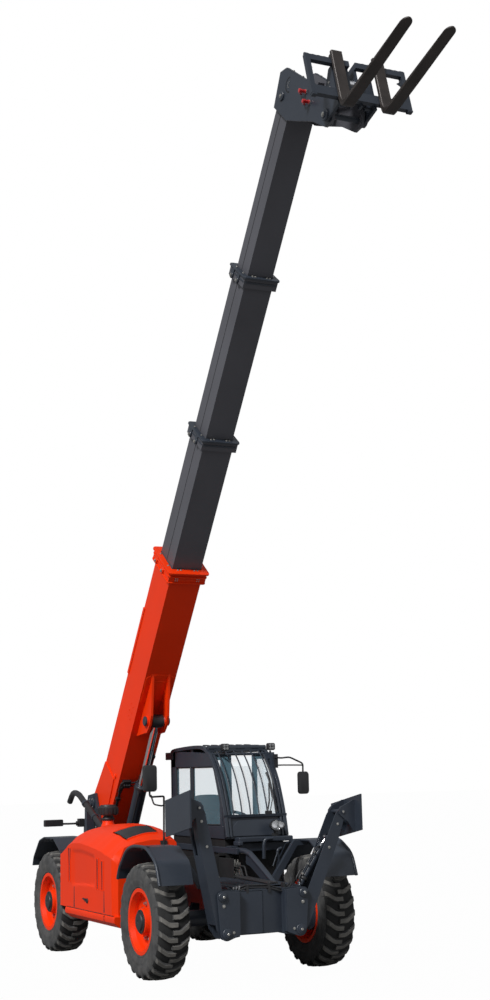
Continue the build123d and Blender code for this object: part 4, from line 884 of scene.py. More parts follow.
# headlamp on its bent tube
light = Shape()
rows = []
for y, grow in ((0.655, 0.55), (0.600, 0.92), (0.560, 1.0), (0.545, 0.97)):
    ring = []
    for k in range(24):
        a = 2 * pi * k / 24
        rx, rz = 0.098 * (1 if cos(a) < 0 else 0.96), (0.070 if cos(a) < 0 else 0.052)
        ring.append(at(0.790 + rx * grow * cos(a), y, 1.512 + rz * grow * sin(a)))
    rows.append(ring)
light.skin(rows, close=True, cap=True)
light.tube([at(0.770, 0.600, 1.455), at(0.770, 0.600, 1.420)], 0.012)
light.box((0.740, 0.575, 1.392), (0.800, 0.625, 1.424))
make("headlamp_case", light, BLACK, bevel=0.003, smooth=45)
light = Shape()
rows = []
for y, grow in ((0.546, 0.90), (0.534, 0.80), (0.530, 0.4), (0.5295, 0.02)):
    rows.append([at(0.790 + (0.098 if cos(a) < 0 else 0.094) * grow * cos(a), y,
                    1.512 + (0.070 if cos(a) < 0 else 0.052) * grow * sin(a))
                 for a in turns(24)])
light.skin(rows, close=True, cap=True)
make("headlamp_lens", light, LENS, smooth=60)
light = Shape()
for dx, dz, r in ((-0.045, 0.012, 0.036), (0.038, 0.010, 0.032), (0.0, -0.034, 0.014)):
    light.turned([(0, r * 0.3), (0.010, r * 0.8), (0.018, r), (0.020, r * 1.05), (0.019, r * 0.98)],
                 at(0.790 + dx, 0.562, 1.512 + dz), (0, -1, 0), 24)
make("headlamp_reflectors", light, CHROME)
pipe("headlamp_tube", [at(0.700, 0.530, 1.372), at(0.610, 0.530, 1.366), at(0.590, 0.530, 1.300),
                       at(0.590, 0.530, 1.150)], 0.020, NAVY, corner=2.4)
rods = Shape()
rods.tube([at(0.560, 0.02, 1.288), at(0.500, 0.0, 1.272), at(0.520, 0.02, 1.18), at(0.560, 0.03, 1.02),
           at(0.585, 0.03, 0.90)], 0.014)
rods.tube([at(0.500, 0.0, 1.24), at(0.442, 0.0, 1.099)], 0.008)
make("far_steps_rods", rods, NAVY, smooth=50)

# wiper
wiper = Shape()
wiper.tube([at(0.735, 0.715, 1.66), at(0.775, 0.735, 1.78), at(0.805, 0.800, 1.99)], 0.009)
wiper.tube([at(0.770, 0.715, 1.66), at(0.815, 0.735, 1.80), at(0.812, 0.800, 1.99)], 0.006)
wiper.tube([at(0.855, 0.708, 1.655), at(0.830, 0.745, 1.86), at(0.815, 0.815, 2.03), at(0.800, 0.86, 2.11)], 0.011,
           corner=12)
wiper.box((0.715, 0.700, 1.635), (0.790, 0.735, 1.675))
make("wiper", wiper, BLACK, bevel=0.002, smooth=45)

# ---------------------------------------------------------------- driver's seat
def cushion(name, rows, material):
    """Closed padded form lofted through superellipse rings, smoothed by subdivision."""
    shape = Shape()
    loops = []
    for centre, u, v, wide, deep, power in rows:
        ring = []
        for k in range(28):
            a = 2 * pi * k / 28
            cu, cv = cos(a), sin(a)
            ring.append(Vector(centre) + Vector(u) * (wide * (abs(cu) ** power) * (1 if cu > 0 else -1))
                        + Vector(v) * (deep * (abs(cv) ** power) * (1 if cv > 0 else -1)))
        loops.append(ring)
    shape.skin(loops, close=True, cap=True)
    obj = make(name, shape, material, smooth=70)
    sub = obj.modifiers.new("soft", "SUBSURF")
    sub.levels = sub.render_levels = 2
    return obj


SX = 0.5725
pad = cushion("seat_cushion", [(at(SX, 1.500, 1.185), (1, 0, 0), (0, 0, 1), 0.190, 0.022, 0.7),
                               (at(SX, 1.512, 1.187), (1, 0, 0), (0, 0, 1), 0.228, 0.046, 0.55),
                               (at(SX, 1.560, 1.190), (1, 0, 0), (0, 0, 1), 0.240, 0.060, 0.45),
                               (at(SX, 1.640, 1.188), (1, 0, 0), (0, 0, 1), 0.243, 0.056, 0.42),
                               (at(SX, 1.655, 1.186), (1, 0, 0), (0, 0, 1), 0.239, 0.047, 0.42),
                               (at(SX, 1.670, 1.188), (1, 0, 0), (0, 0, 1), 0.243, 0.056, 0.42),
                               (at(SX, 1.780, 1.186), (1, 0, 0), (0, 0, 1), 0.244, 0.056, 0.42),
                               (at(SX, 1.795, 1.185), (1, 0, 0), (0, 0, 1), 0.240, 0.047, 0.42),
                               (at(SX, 1.810, 1.186), (1, 0, 0), (0, 0, 1), 0.243, 0.055, 0.42),
                               (at(SX, 1.900, 1.184), (1, 0, 0), (0, 0, 1), 0.238, 0.052, 0.5),
                               (at(SX, 1.955, 1.184), (1, 0, 0), (0, 0, 1), 0.205, 0.028, 0.7)], FABRIC)
lean = Vector((0, 0.10, 0.62)).normalized()
across = Vector((0, lean.z, -lean.y))
rows = []
for t, wide, deep, power in ((0.00, 0.180, 0.030, 0.7), (0.020, 0.222, 0.052, 0.5), (0.120, 0.236, 0.064, 0.42),
                             (0.235, 0.238, 0.062, 0.42), (0.248, 0.232, 0.050, 0.42),
                             (0.262, 0.237, 0.062, 0.42), (0.400, 0.230, 0.060, 0.42), (0.413, 0.223, 0.048, 0.42),
                             (0.427, 0.228, 0.059, 0.42), (0.540, 0.205, 0.052, 0.45),
                             (0.600, 0.180, 0.040, 0.5), (0.628, 0.140, 0.020, 0.7)):
    rows.append((at(SX, 1.975, 1.235) + lean * t, (1, 0, 0), across, wide, deep, power))
cushion("seat_back", rows, FABRIC)
base = Shape()
base.box((SX - 0.18, 1.57, 0.690), (SX + 0.18, 1.93, 0.730))
for k in range(7):
    base.box((SX - 0.155, 1.60, 0.735 + 0.05 * k), (SX + 0.155, 1.90, 0.768 + 0.05 * k))
base.box((SX - 0.20, 1.54, 1.090), (SX + 0.20, 1.95, 1.125))
base.box((SX - 0.25, 2.01, 1.25), (SX + 0.25, 2.03, 1.30))
make("seat_base", base, BLACK, bevel=0.008)
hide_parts("seat")
arm = Shape()
for x in (SX - 0.275, SX + 0.275):
    case(arm, at(x - 0.028, 1.62, 1.395), at(x + 0.028, 1.94, 1.440), 0.018)
case(arm, at(SX - 0.30, 1.52, 1.22), at(SX - 0.21, 1.66, 1.40), 0.02)
arm.tube([at(SX - 0.255, 1.56, 1.39), at(SX - 0.255, 1.54, 1.50)], 0.008)
arm.turned([(0, 0.012), (0.01, 0.020), (0.03, 0.022), (0.045, 0.012)], at(SX - 0.255, 1.54, 1.49), (0, 0, 1), 16)
make("seat_armrests", arm, BLACK, smooth=45)

# ---------------------------------------------------------------- behind the pod
pipe("exhaust_pipe", [at(-0.500, 2.560, 1.400), at(-0.500, 2.700, 1.400), at(-0.500, 3.050, 1.545),
                      at(-0.500, 3.800, 1.885), at(-0.500, 4.010, 1.900), at(-0.500, 4.150, 1.775)], 0.038, BLACK,
                      corner=3.2)
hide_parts("exhaust")
clamp = Shape()
clamp.turned([(0, 0.047), (0.05, 0.047)], at(-0.500, 3.50, 1.749), (0, 0.911, 0.412), 24)
clamp.turned([(0, 0.046), (0.03, 0.046)], at(-0.500, 3.15, 1.590), (0, 0.911, 0.412), 24)
clamp.plate("x", -0.500, [(3.48, 1.70), (3.56, 1.70), (3.56, 1.40), (3.48, 1.40)], 0.10)
make("exhaust_clamps", clamp, NAVY, bevel=0.003)
clean_air = Shape()
clean_air.turned([(0, 0.072), (0.02, 0.080), (0.05, 0.060), (0.06, 0.060), (0.065, 0.108), (0.09, 0.118),
                  (0.155, 0.120), (0.165, 0.112), (0.170, 0.100), (0.185, 0.094), (0.19, 0.04)],
                  at(-0.600, 2.40, 1.575), (0, 0, 1), 36)
for k in range(16):
    a = 2 * pi * k / 16
    clean_air.box((-0.600 + 0.119 * cos(a) - 0.006, 2.40 + 0.119 * sin(a) - 0.006, 1.655),
                  (-0.600 + 0.119 * cos(a) + 0.006, 2.40 + 0.119 * sin(a) + 0.006, 1.725))
make("air_pre_cleaner", clean_air, BLACK, smooth=40)
stub = Shape()
stub.turned([(0, 0.100), (0.012, 0.090), (0.06, 0.070), (0.105, 0.062)], at(-0.600, 2.40, 1.490), (0, 0, 1), 32)
make("air_intake_stub", stub, ORANGE)

rear = Shape()
case(rear, at(-0.900, 3.965, 1.470), at(-0.650, 4.040, 1.556), 0.012)
rear.tube([at(-0.660, 4.00, 1.500), at(-0.560, 4.00, 1.498), at(-0.430, 3.98, 1.500), at(-0.390, 3.98, 1.500)], 0.013)
rear.box((-0.440, 3.93, 1.455), (-0.372, 4.03, 1.560))
rear.turned([(0, 0.030), (0.05, 0.030)], at(-0.470, 3.98, 1.500), (1, 0, 0), 16)
make("rear_lamp_arm", rear, BLACK, bevel=0.003, smooth=40)
tail = Shape()
tail.plate("y", 4.0405, [(-0.885, 1.480), (-0.790, 1.480), (-0.790, 1.546), (-0.885, 1.546)], 0.004)
make("rear_lamp_red", tail, RED_LENS, bevel=0.002)
tail = Shape()
tail.plate("y", 4.0405, [(-0.780, 1.480), (-0.665, 1.480), (-0.665, 1.546), (-0.780, 1.546)], 0.004)
make("rear_lamp_amber", tail, AMBER, bevel=0.002)

# ---------------------------------------------------------------- telescopic boom
HALF = {"boom_base": (0.200, 0.260, 3.600), "boom_section_2": (0.183, 0.210, 5.290),
        "boom_section_3": (0.166, 0.184, 7.235),
        "boom_section_4": (0.149, 0.159, 9.300)}
NEXT = {"boom_base": "boom_section_2", "boom_section_2": "boom_section_3", "boom_section_3": "boom_section_4"}


def round_rect(half_x, half_n, r, steps=3):
    """Outline of a rectangle with rounded corners, in boom cross-section."""
    pts = []
    for qx, qn, start in ((1, 1, 0), (-1, 1, 1), (-1, -1, 2), (1, -1, 3)):
        for k in range(steps + 1):
            a = (start + k / steps) * pi / 2
            pts.append((qx * (half_x - r) + r * cos(a), qn * (half_n - r) + r * sin(a)))
    return pts


def ring_plate(shape, s0, s1, outer, inner):
    """Flat plate with a hole, square to the boom, from s0 to s1."""
    rows = []
    for s, loop in ((s0, outer), (s1, outer), (s1, inner), (s0, inner), (s0, outer)):
        rows.append([in_boom(x, s, n) for x, n in loop])
    shape.skin(rows, close=True)


ALONG = (on_boom(0, 1, 0) - on_boom(0, 0, 0)).normalized()
DOWN = (on_boom(0, 0, 1) - on_boom(0, 0, 0)).normalized()
for node, inner in NEXT.items():
    hx, hn, tip = HALF[node]
    ix, in_, _ = HALF[inner]
    red = node == "boom_base"
    paint = ORANGE if red else BOOM_GREY
    grow = 0.052 if red else 0.044
    rings = Shape()
    hole = round_rect(ix + 0.009, in_ + 0.009, 0.012)
    ring_plate(rings, tip, tip + 0.020, round_rect(hx + grow + 0.010, hn + grow + 0.014, 0.045), hole)
    ring_plate(rings, tip - 0.052, tip - 0.034, round_rect(hx + grow - 0.004, hn + grow, 0.040),
               round_rect(hx + 0.02, hn + 0.02, 0.012))
    if red:
        ring_plate(rings, tip - 0.128, tip - 0.112, round_rect(hx + grow - 0.006, hn + grow, 0.040),
                   round_rect(hx - 0.001, hn - 0.001, 0.012))
    for sign in (-1, 1):
        for n in (-hn * 0.62, hn * 0.30):
            rings.turned([(0, 0.034), (0.018, 0.034), (0.024, 0.030)], in_boom(sign * (hx + 0.030), tip - 0.085, n),
                         (sign, 0, 0), 20)
            rings.add(*slab([in_boom(sign * (hx + 0.030), s_, n_) for s_, n_ in
                             ((tip, n - 0.035), (tip, n + 0.035), (tip - 0.085, n + 0.034),
                              (tip - 0.085, n - 0.034))], Vector((sign * 0.016, 0, 0))))
    make("collar_plates_" + node[5:], rings, paint if red else NAVY, node, bevel=0.004)
    bolts = Shape()
    for sign in (-1, 1):
        for n in (-hn * 0.62, hn * 0.30):
            bolts.hex_bolt(in_boom(sign * (hx + 0.054), tip - 0.085, n), (sign, 0, 0), 0.015, 0.014)
        for x in (-0.62, -0.42, 0.42, 0.62):
            bolts.hex_bolt(in_boom(hx * x, tip + 0.020, sign * (in_ + 0.034)), ALONG, 0.0095, 0.010)
        for n in (-0.55, 0.55):
            bolts.hex_bolt(in_boom(sign * (ix + 0.030), tip + 0.020, hn * n), ALONG, 0.0095, 0.010)
        if red:
            for x in (-0.75, -0.62, 0.62, 0.75):
                for s_ in (-0.068, -0.094):
                    bolts.turned([(0, 0.007), (0.006, 0.007), (0.008, 0.004)],
                                 in_boom(hx * x, tip + s_, sign * (hn + 0.034)), DOWN * sign, 10)
    make("collar_bolts_" + node[5:], bolts, ZINC, node)
    pads = Shape()
    for sign in (-1, 1):
        for x in (-0.55, 0.55):
            pads.prism([in_boom(ix * (x + dx), tip - 0.02, sign * (in_ + 0.0015)) for dx in (-0.26, 0.26)]
                       + [in_boom(ix * (x + dx), tip + 0.026, sign * (in_ + 0.0015)) for dx in (0.26, -0.26)],
                       DOWN * sign * 0.012)
    make("wear_pads_" + node[5:], pads, BLACK, node, bevel=0.001)
for node, n, start in (("boom_section_2", 0.0, 3.64), ("boom_section_3", -0.012, 5.36),
                       ("boom_section_4", -0.022, 7.30)):
    hx, hn, tip = HALF[node]
    seam = Shape()
    for sign in (-1, 1):
        for s0, s1 in ((start - 1.2, tip - 0.115),):
            seam.skin([[in_boom(sign * (hx - 0.001), s_, n - 0.006), in_boom(sign * (hx + 0.0022), s_, n - 0.003),
                        in_boom(sign * (hx + 0.0022), s_, n + 0.003),
                        in_boom(sign * (hx - 0.001), s_, n + 0.006)] for s_ in (s0, s1)], close=True, cap=True)
    make("weld_seam_" + node[5:], seam, SEAM_DARK_AND_SHADE, node, smooth=60)
strip = Shape()
for sign in (-1, 1):
    x = BOOM_X + sign * 0.200
    strip.prism([on_boom(x, 1.85, -0.262), on_boom(x, 2.80, -0.262), on_boom(x, 2.80, -0.225),
                 on_boom(x, 1.85, -0.225)], (sign * 0.010, 0, 0))
    strip.prism([on_boom(x - sign * 0.03, 1.85, -0.262), on_boom(x - sign * 0.03, 2.80, -0.262),
                 on_boom(x + sign * 0.010, 2.80, -0.262), on_boom(x + sign * 0.010, 1.85, -0.262)], DOWN * -0.010)
    strip.turned([(0, 0.030), (0.012, 0.030), (0.016, 0.024)], on_boom(x, 0.55, 0.12), (sign, 0, 0), 20)
    for k in range(6):
        strip.turned([(0, 0.010), (0.006, 0.009)], on_boom(x, 1.42 + 0.09 * (k % 3), 0.05 + 0.08 * (k // 3)),
                     (sign, 0, 0), 12)
make("boom_side_strips", strip, ORANGE, "boom_base", bevel=0.004)
plate = Shape()
plate.prism([in_boom(x, s_, 0.260) for x, s_ in ((-0.185, 1.78), (0.185, 1.78), (0.185, 2.12), (0.12, 2.165),
                                                 (-0.12, 2.165), (-0.185, 2.12))], DOWN * 0.010)
plate.prism([in_boom(x, s_, 0.270) for x, s_ in ((-0.10, 1.80), (0.10, 1.80), (0.10, 2.08), (-0.10, 2.08))],
            DOWN * 0.006)
make("lift_lug_plate", plate, ORANGE, "boom_base", bevel=0.004)
under = Shape()
for k, x in enumerate((-0.165, -0.145, 0.150, 0.170)):
    run_to = 0.40 if x < 0 else 0.95
    under.tube([in_boom(x, 0.10, 0.275), in_boom(x, run_to, 0.275), in_boom(x * 0.9, run_to + 0.08, 0.275),
                in_boom(x * 0.9, run_to + 0.10, 0.255)], 0.0085)
for s_ in (0.30, 0.62, 0.94):
    for sign in (-1, 1):
        if sign < 0 and s_ > 0.5:
            continue
        under.prism([in_boom(sign * 0.130, s_, 0.262), in_boom(sign * 0.190, s_, 0.262),
                     in_boom(sign * 0.190, s_ + 0.035, 0.262), in_boom(sign * 0.130, s_ + 0.035, 0.262)], DOWN * 0.034)
make("boom_under_pipes", under, BLACK, "boom_base", bevel=0.0015, smooth=40)
outer = Shape()
outer.prism([on_boom(x, s_, 0.261) for x, s_ in ((-0.275, 0.500), (-0.170, 0.500), (-0.170, 0.600), (-0.275, 0.600))],
            DOWN * 0.045)
for k in range(3):
    outer.turned([(0, 0.012), (0.018, 0.012), (0.022, 0.008)], on_boom(-0.255 + 0.032 * k, 0.550, 0.306), DOWN, 6)
for s_ in (0.525, 0.575):
    outer.tube([on_boom(-0.300, s_ - 0.10, 0.285), on_boom(-0.290, s_, 0.290), on_boom(-0.150, s_, 0.300),
                on_boom(-0.080, s_ + 0.02, 0.300), on_boom(-0.060, s_ + 0.10, 0.270)], 0.009)
for k in range(5):
    outer.turned([(0, 0.010), (0.008, 0.010), (0.010, 0.006)], in_boom(-0.200, 0.10 + 0.07 * k, -0.235), (-1, 0, 0), 10)
make("boom_side_pipes", outer, BLACK, "boom_base", bevel=0.0015, smooth=40)

# ---------------------------------------------------------------- lift cylinder
FOOT = at(BOOM_X, 3.200, 0.950)
EYE = in_boom(0, 1.620, 0.450)
REACH = (EYE - FOOT).normalized()
FRONTWARD = Vector((0, -REACH.z, REACH.y))
lift = Shape()
lift.turned([(1.195, 0.0775), (1.203, 0.087), (1.236, 0.087), (1.242, 0.0775), (1.195, 0.0775)], FOOT, REACH, 36)
lift.turned([(0.150, 0.077), (0.158, 0.084), (0.185, 0.084), (0.193, 0.077), (0.150, 0.077)], FOOT, REACH, 36)
for sign in (-1, 1):
    base_at = FOOT + Vector((sign * 0.055, 0, 0)) + FRONTWARD * 0.078
    lift.tube([base_at + REACH * 0.20 - FRONTWARD * 0.02, base_at + REACH * 0.21 + FRONTWARD * 0.012,
               base_at + REACH * 0.26 + FRONTWARD * 0.012,
                base_at + REACH * (1.16 if sign < 0 else 0.60) + FRONTWARD * 0.012,
                base_at + REACH * (1.20 if sign < 0 else 0.64) - FRONTWARD * 0.02], 0.010)
lift.turned([(-0.05, 0.070), (-0.045, 0.078), (0.045, 0.078), (0.05, 0.070)], FOOT, (1, 0, 0), 32)
make("lift_barrel_dress", lift, BLACK, "lift_barrel", smooth=40)
sleeve = Shape()
sleeve.turned([(-0.078, 0.066), (-0.072, 0.080), (0.072, 0.080), (0.078, 0.066)], EYE, (1, 0, 0), 36)
sleeve.turned([(-0.075, 0.062), (-0.07, 0.062), (-0.03, 0.052)], EYE - REACH * 0.02, REACH * -1, 24)
make("lift_rod_eye", sleeve, BLACK, "lift_rod", smooth=40)
pins = Shape()
for sign in (-1, 1):
    pins.turned([(0, 0.058), (0.014, 0.058), (0.020, 0.050), (0.022, 0.016)], in_boom(sign * 0.140, 1.620, 0.450),
                (sign, 0, 0), 28)
make("lift_pin_caps", pins, NAVY, "boom_base")

# ---------------------------------------------------------------- stabilisers
for side, sx, pivot, cyl, foot in (("left", 1, (0.277, 0.520), (0.320, 0.885), (0.8222, 1.6891)),
                                   ("right", -1, (-0.557, 0.520), (-0.600, 0.885), (-0.8362, 1.7794))):
    leg, barrel = "stabiliser_leg_" + side, "stabiliser_barrel_" + side
    pin = Shape()
    pin.turned([(0, 0.048), (0.010, 0.048), (0.014, 0.040)], at(pivot[0], -0.709, pivot[1]), (0, 1, 0), 28)
    pin.turned([(0, 0.044), (0.010, 0.044), (0.014, 0.038)], at(cyl[0], -0.735, cyl[1]), (0, 1, 0), 28)
    make("stabiliser_pins_" + side, pin, NAVY)
    nuts = Shape()
    nuts.hex_bolt(at(pivot[0], -0.695, pivot[1]), (0, 1, 0), 0.016, 0.010, washer=False)
    make("stabiliser_nuts_" + side, nuts, ZINC)
    head = Shape()
    head.turned([(0, 0.046), (0.012, 0.046), (0.018, 0.040), (0.020, 0.018)], at(foot[0], -0.927, foot[1]),
                (0, -1, 0), 28)
    head.turned([(0, 0.046), (0.012, 0.046), (0.018, 0.040)], at(foot[0], -0.713, foot[1]), (0, 1, 0), 28)
    make("foot_pin_" + side, head, NAVY, leg)
    nuts = Shape()
    nuts.hex_bolt(at(foot[0], -0.946, foot[1]), (0, -1, 0), 0.015, 0.010)
    axis = Vector((foot[0] - pivot[0], 0, foot[1] - pivot[1])).normalized()
    for k, d_ in enumerate((0.14, 0.40)):
        place = at(foot[0], -0.926, foot[1]) - axis * d_
        nuts.hex_bolt(place, (0, -1, 0), 0.010, 0.009)
    make("leg_bolts_" + side, nuts, ZINC, leg)
    ca = at(cyl[0], -0.785, cyl[1])
    stroke = Vector(AXIS_OF["stabiliser_cylinder_stroke_" + side])
    lateral = Vector((-stroke.z, 0, stroke.x)) * sx
    body_pipe = Shape()
    for dy, top in ((-0.034, 0.50), (0.034, 0.22)):
        o = ca + Vector((0, dy, 0)) + lateral * 0.050
        body_pipe.tube([o + stroke * 0.10 - lateral * 0.02, o + stroke * 0.12 + lateral * 0.008,
                        o + stroke * 0.16 + lateral * 0.010,
                         o + stroke * top + lateral * 0.010, o + stroke * (top + 0.03) - lateral * 0.02], 0.0085)
    body_pipe.turned([(0.14, 0.051), (0.145, 0.054), (0.165, 0.054), (0.17, 0.051)], ca, stroke, 28)
    make("stabiliser_pipes_" + side, body_pipe, BLACK, barrel, smooth=40)
    clip = Shape()
    for d_ in (0.18, 0.30, 0.44):
        clip.turned([(0, 0.012), (0.012, 0.012)], ca + stroke * d_ + lateral * 0.060 + Vector((0, -0.045, 0)),
                    (0, -1, 0), 12)
    make("stabiliser_clips_" + side, clip, ZINC, barrel)
beam = Shape()
beam.plate("y", -0.884, [(-0.400, 0.492), (-0.121, 0.492), (-0.121, 0.930), (-0.400, 0.930)], 0.012)
beam.skin([[at(x, y - 0.006, z0), at(x, y - 0.006, z1), at(x, y + 0.006, z1), at(x, y + 0.006, z0)] for x, y, z0,
           z1 in ((-0.121, -0.884, 0.492, 0.930), (-0.117, -0.876, 0.492, 0.930), (0.130, -0.845, 0.492, 0.925))],
           close=True, cap=True)
beam.prism([at(-0.400, -0.884, 0.918), at(-0.121, -0.884, 0.918), at(0.130, -0.850, 0.914), at(0.130, -0.706, 0.914),
            at(-0.400, -0.706, 0.918)], (0, 0, 0.010))
beam.plate("z", 0.494, [(-0.400, -0.884), (-0.121, -0.884), (0.130, -0.850), (0.130, -0.706), (-0.400, -0.706)], 0.010)
make("beam_front", beam, NAVY, bevel=0.004)
run = Shape()
for k, (dz, dy) in enumerate(((0.0, 0.0), (0.022, 0.020))):
    run.tube([at(-0.43, -0.860 + dy, 0.915 + dz), at(-0.30, -0.870 + dy, 0.958 + dz),
              at(-0.05, -0.872 + dy, 0.950 + dz), at(0.10, -0.876 + dy, 0.905 + dz),
              at(0.16, -0.872 + dy, 0.912 + dz), at(0.235, -0.850 + dy, 0.965 + dz), at(0.26, -0.80 + dy, 1.03 + dz)],
              0.0095)
for x in (-0.30, -0.05, 0.12):
    run.box((x, -0.885, 0.900), (x + 0.025, -0.835, 0.990))
make("beam_pipe_run", run, BLACK, smooth=40)
fitting = Shape()
for k in range(3):
    fitting.turned([(0, 0.016), (0.02, 0.016), (0.024, 0.011), (0.05, 0.011), (0.052, 0.015), (0.064, 0.015)],
                   at(-0.44 + 0.034 * k, -0.845, 0.905 + 0.006 * k), (0.15, -0.1, 1), 6)
fitting.box((-0.470, -0.860, 0.892), (-0.350, -0.800, 0.906))
make("beam_fittings", fitting, CHROME, bevel=0.001)

# ---------------------------------------------------------------- boom head, carriage and forks
HINGE = in_boom(0, 9.255, 1.120)
SLOPE = radians(15.4)
CARRIAGE_MID = -0.080


def on_carriage(x, out, up):
    """Point out in front of the carriage hinge and up from it, carriage at rest."""
    return Vector((x, HINGE.y - out * cos(SLOPE) + up * sin(SLOPE), HINGE.z + out * sin(SLOPE) + up * cos(SLOPE)))


OUT = on_carriage(0, 1, 0) - on_carriage(0, 0, 0)
RISE = on_carriage(0, 0, 1) - on_carriage(0, 0, 0)
bars = Shape()
for side in (-0.216, 0.243):
    mid, top = CARRIAGE_MID + side, -0.120
    pairs = [((0.305, 0.505), (0.345, 0.505)), ((0.305, 0.518), (0.347, 0.515)), ((0.305, 0.200), (0.347, 0.200)),
             ((0.305, top + 0.050), (0.348, top + 0.075)),
             ((0.307, top + 0.012), (0.354, top + 0.036)), ((0.318, top - 0.022), (0.366, top + 0.014)),
             ((0.340, top - 0.040), (0.384, top + 0.003)),
             ((0.372, top - 0.045), (0.405, top)), ((0.480, top - 0.045), (0.480, top)),
             ((0.800, top - 0.040), (0.800, top))]
    length, r = 1.556, 0.075
    for k in range(7):
        t = k / 6
        pairs.append(((length - r + r * sin(t * pi / 2), top - 0.015 - 0.004 * (1 - t)),
                      (length - r + r * sin(t * pi / 2), top)))
    rows = []
    for k, (low, high) in enumerate(pairs):
        reach = max(low[0], high[0])
        half = 0.060 if reach <= length - r else max(0.012, 0.060 * sqrt(max(0.0, 1 - ((reach - length + r) / r) ** 2)))
        half = 0.052 if k == 0 else half
        lo, hi = on_carriage(0, *low), on_carriage(0, *high)
        inset = 0.006 if k else 0.010
        step = (hi - lo).normalized() * min(inset, (hi - lo).length * 0.3)
        ring = []
        for x, p in ((mid - half, lo + step), (mid - half, hi - step), (mid - half + inset * half / 0.06, hi),
                     (mid + half - inset * half / 0.06, hi),
                     (mid + half, hi - step), (mid + half, lo + step), (mid + half - inset * half / 0.06, lo),
                     (mid - half + inset * half / 0.06, lo)):
            ring.append(Vector((x, p.y, p.z)))
        rows.append(ring)
    bars.skin(rows, close=True, cap=True)
    for profile in (((0.306, 0.505), (0.306, 0.449), (0.260, 0.449), (0.260, 0.490), (0.268, 0.500)),
                    ((0.306, -0.026), (0.275, -0.026), (0.275, -0.036), (0.306, -0.040))):
        bars.prism([on_carriage(mid - 0.052, *q) for q in profile], (0.104, 0, 0))
forks_new = make("fork_bars", bars, STEEL, "carriage", smooth=35)
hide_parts("forks")
teeth = Shape()
for k in range(18):
    x = CARRIAGE_MID - 0.520 + k * 0.0612
    if abs(x - BOOM_X) > 0.085:
        teeth.prism([on_carriage(x - 0.019, 0.262, 0.447), on_carriage(x + 0.019, 0.262, 0.447),
                     on_carriage(x + 0.015, 0.262, 0.459), on_carriage(x - 0.015, 0.262, 0.459)], OUT * 0.036)
for sign in (-1, 1):
    x = CARRIAGE_MID + sign * 0.555
    teeth.prism([on_carriage(x - sign * 0.052, *q) for q in ((0.253, -0.030), (0.309, -0.030), (0.312, -0.048),
                                                             (0.270, -0.050), (0.253, -0.040))], (sign * 0.052, 0, 0))
    teeth.turned([(0, 0.016), (0.040, 0.016)], on_carriage(x - sign * 0.002, 0.281, 0.455), (-sign, 0, 0), 16)
    for lift_ in (0.10, 0.30):
        teeth.prism([on_carriage(x - sign * 0.050, 0.252, lift_), on_carriage(x - sign * 0.050, 0.252, lift_ + 0.05),
                     on_carriage(x - sign * 0.086, 0.252, lift_ + 0.025)], OUT * 0.010)
make("carriage_teeth", teeth, NAVY, "carriage", bevel=0.002)
caps = Shape()
for sign in (-1, 1):
    at_pin = on_carriage(BOOM_X + sign * 0.214, 0, 0)
    caps.turned([(0, 0.062), (0.012, 0.062), (0.018, 0.054), (0.020, 0.034), (0.028, 0.034), (0.030, 0.026)], at_pin,
                (sign, 0, 0), 32)
    caps.turned([(-0.03, 0.020), (0.03, 0.020)], on_carriage(BOOM_X + sign * 0.140, 0.20, -0.02), (1, 0, 0), 16)
make("carriage_pin_caps", caps, NAVY, "carriage")
caps = Shape()
for sign in (-1, 1):
    caps.hex_bolt(on_carriage(BOOM_X + sign * 0.244, 0, 0), (sign, 0, 0), 0.017, 0.012)
    for off in (0.30, 0.36):
        caps.hex_bolt(on_carriage(BOOM_X + sign * 0.214, 0.165, off - 0.10), (sign, 0, 0), 0.009, 0.009)
make("carriage_bolts", caps, ZINC, "carriage")
knob = Shape()
knob.turned([(0, 0.052), (0.012, 0.052), (0.018, 0.046), (0.020, 0.020)], in_boom(-0.178, 9.154, -0.043), (-1, 0, 0),
            28)
knob.turned([(0, 0.052), (0.012, 0.052), (0.018, 0.046), (0.020, 0.020)], in_boom(0.178, 9.154, -0.043), (1, 0, 0), 28)
for sign in (-1, 1):
    x = BOOM_X + sign * 0.178
    knob.prism([on_boom(x - sign * 0.03, 9.432, -0.10), on_boom(x - sign * 0.03, 9.432, 0.58),
                on_boom(x + sign * 0.004, 9.432, 0.58), on_boom(x + sign * 0.004, 9.432, -0.10)], ALONG * 0.008)
make("boom_head_bosses", knob, NAVY, "boom_section_4", bevel=0.002)
cheek = Shape()
for sign in (-1, 1):
    cheek.prism([in_boom(sign * 0.1775, s_, n) for s_,
                 n in ((9.004, -0.171), (9.357, -0.226), (9.426, -0.118), (9.436, 0.599), (9.396, 0.960),
                       (9.347, 1.167), (9.231, 1.211),
                                                                     (9.138, 1.109), (9.114, 0.800), (9.024, 0.449),
                                                                     (8.964, 0.199))], (sign * 0.0025, 0, 0))
make("boom_head_cheeks", cheek, NAVY, "boom_section_4")
# arc slots in the head cheeks: thin near-black arcs on the plate, painted shade for the openings
slot = Shape()
for sign in (-1, 1):
    x = BOOM_X + sign * 0.1802
    rows = []
    for k in range(13):
        a = radians(150 + k * 16)
        for_in, for_out = 0.070, 0.082
        rows.append([on_boom(x, 9.300 + for_in * cos(a), 0.062 + for_in * sin(a)),
                     on_boom(x, 9.300 + for_out * cos(a), 0.062 + for_out * sin(a)),
                     on_boom(x + sign * 0.0012, 9.300 + for_out * cos(a), 0.062 + for_out * sin(a)),
                     on_boom(x + sign * 0.0012, 9.300 + for_in * cos(a), 0.062 + for_in * sin(a))])
    slot.skin(rows, close=True, cap=True)
make("boom_head_slots_painted_shade", slot, SEAM_DARK_AND_SHADE, "boom_section_4")
tags = Shape()
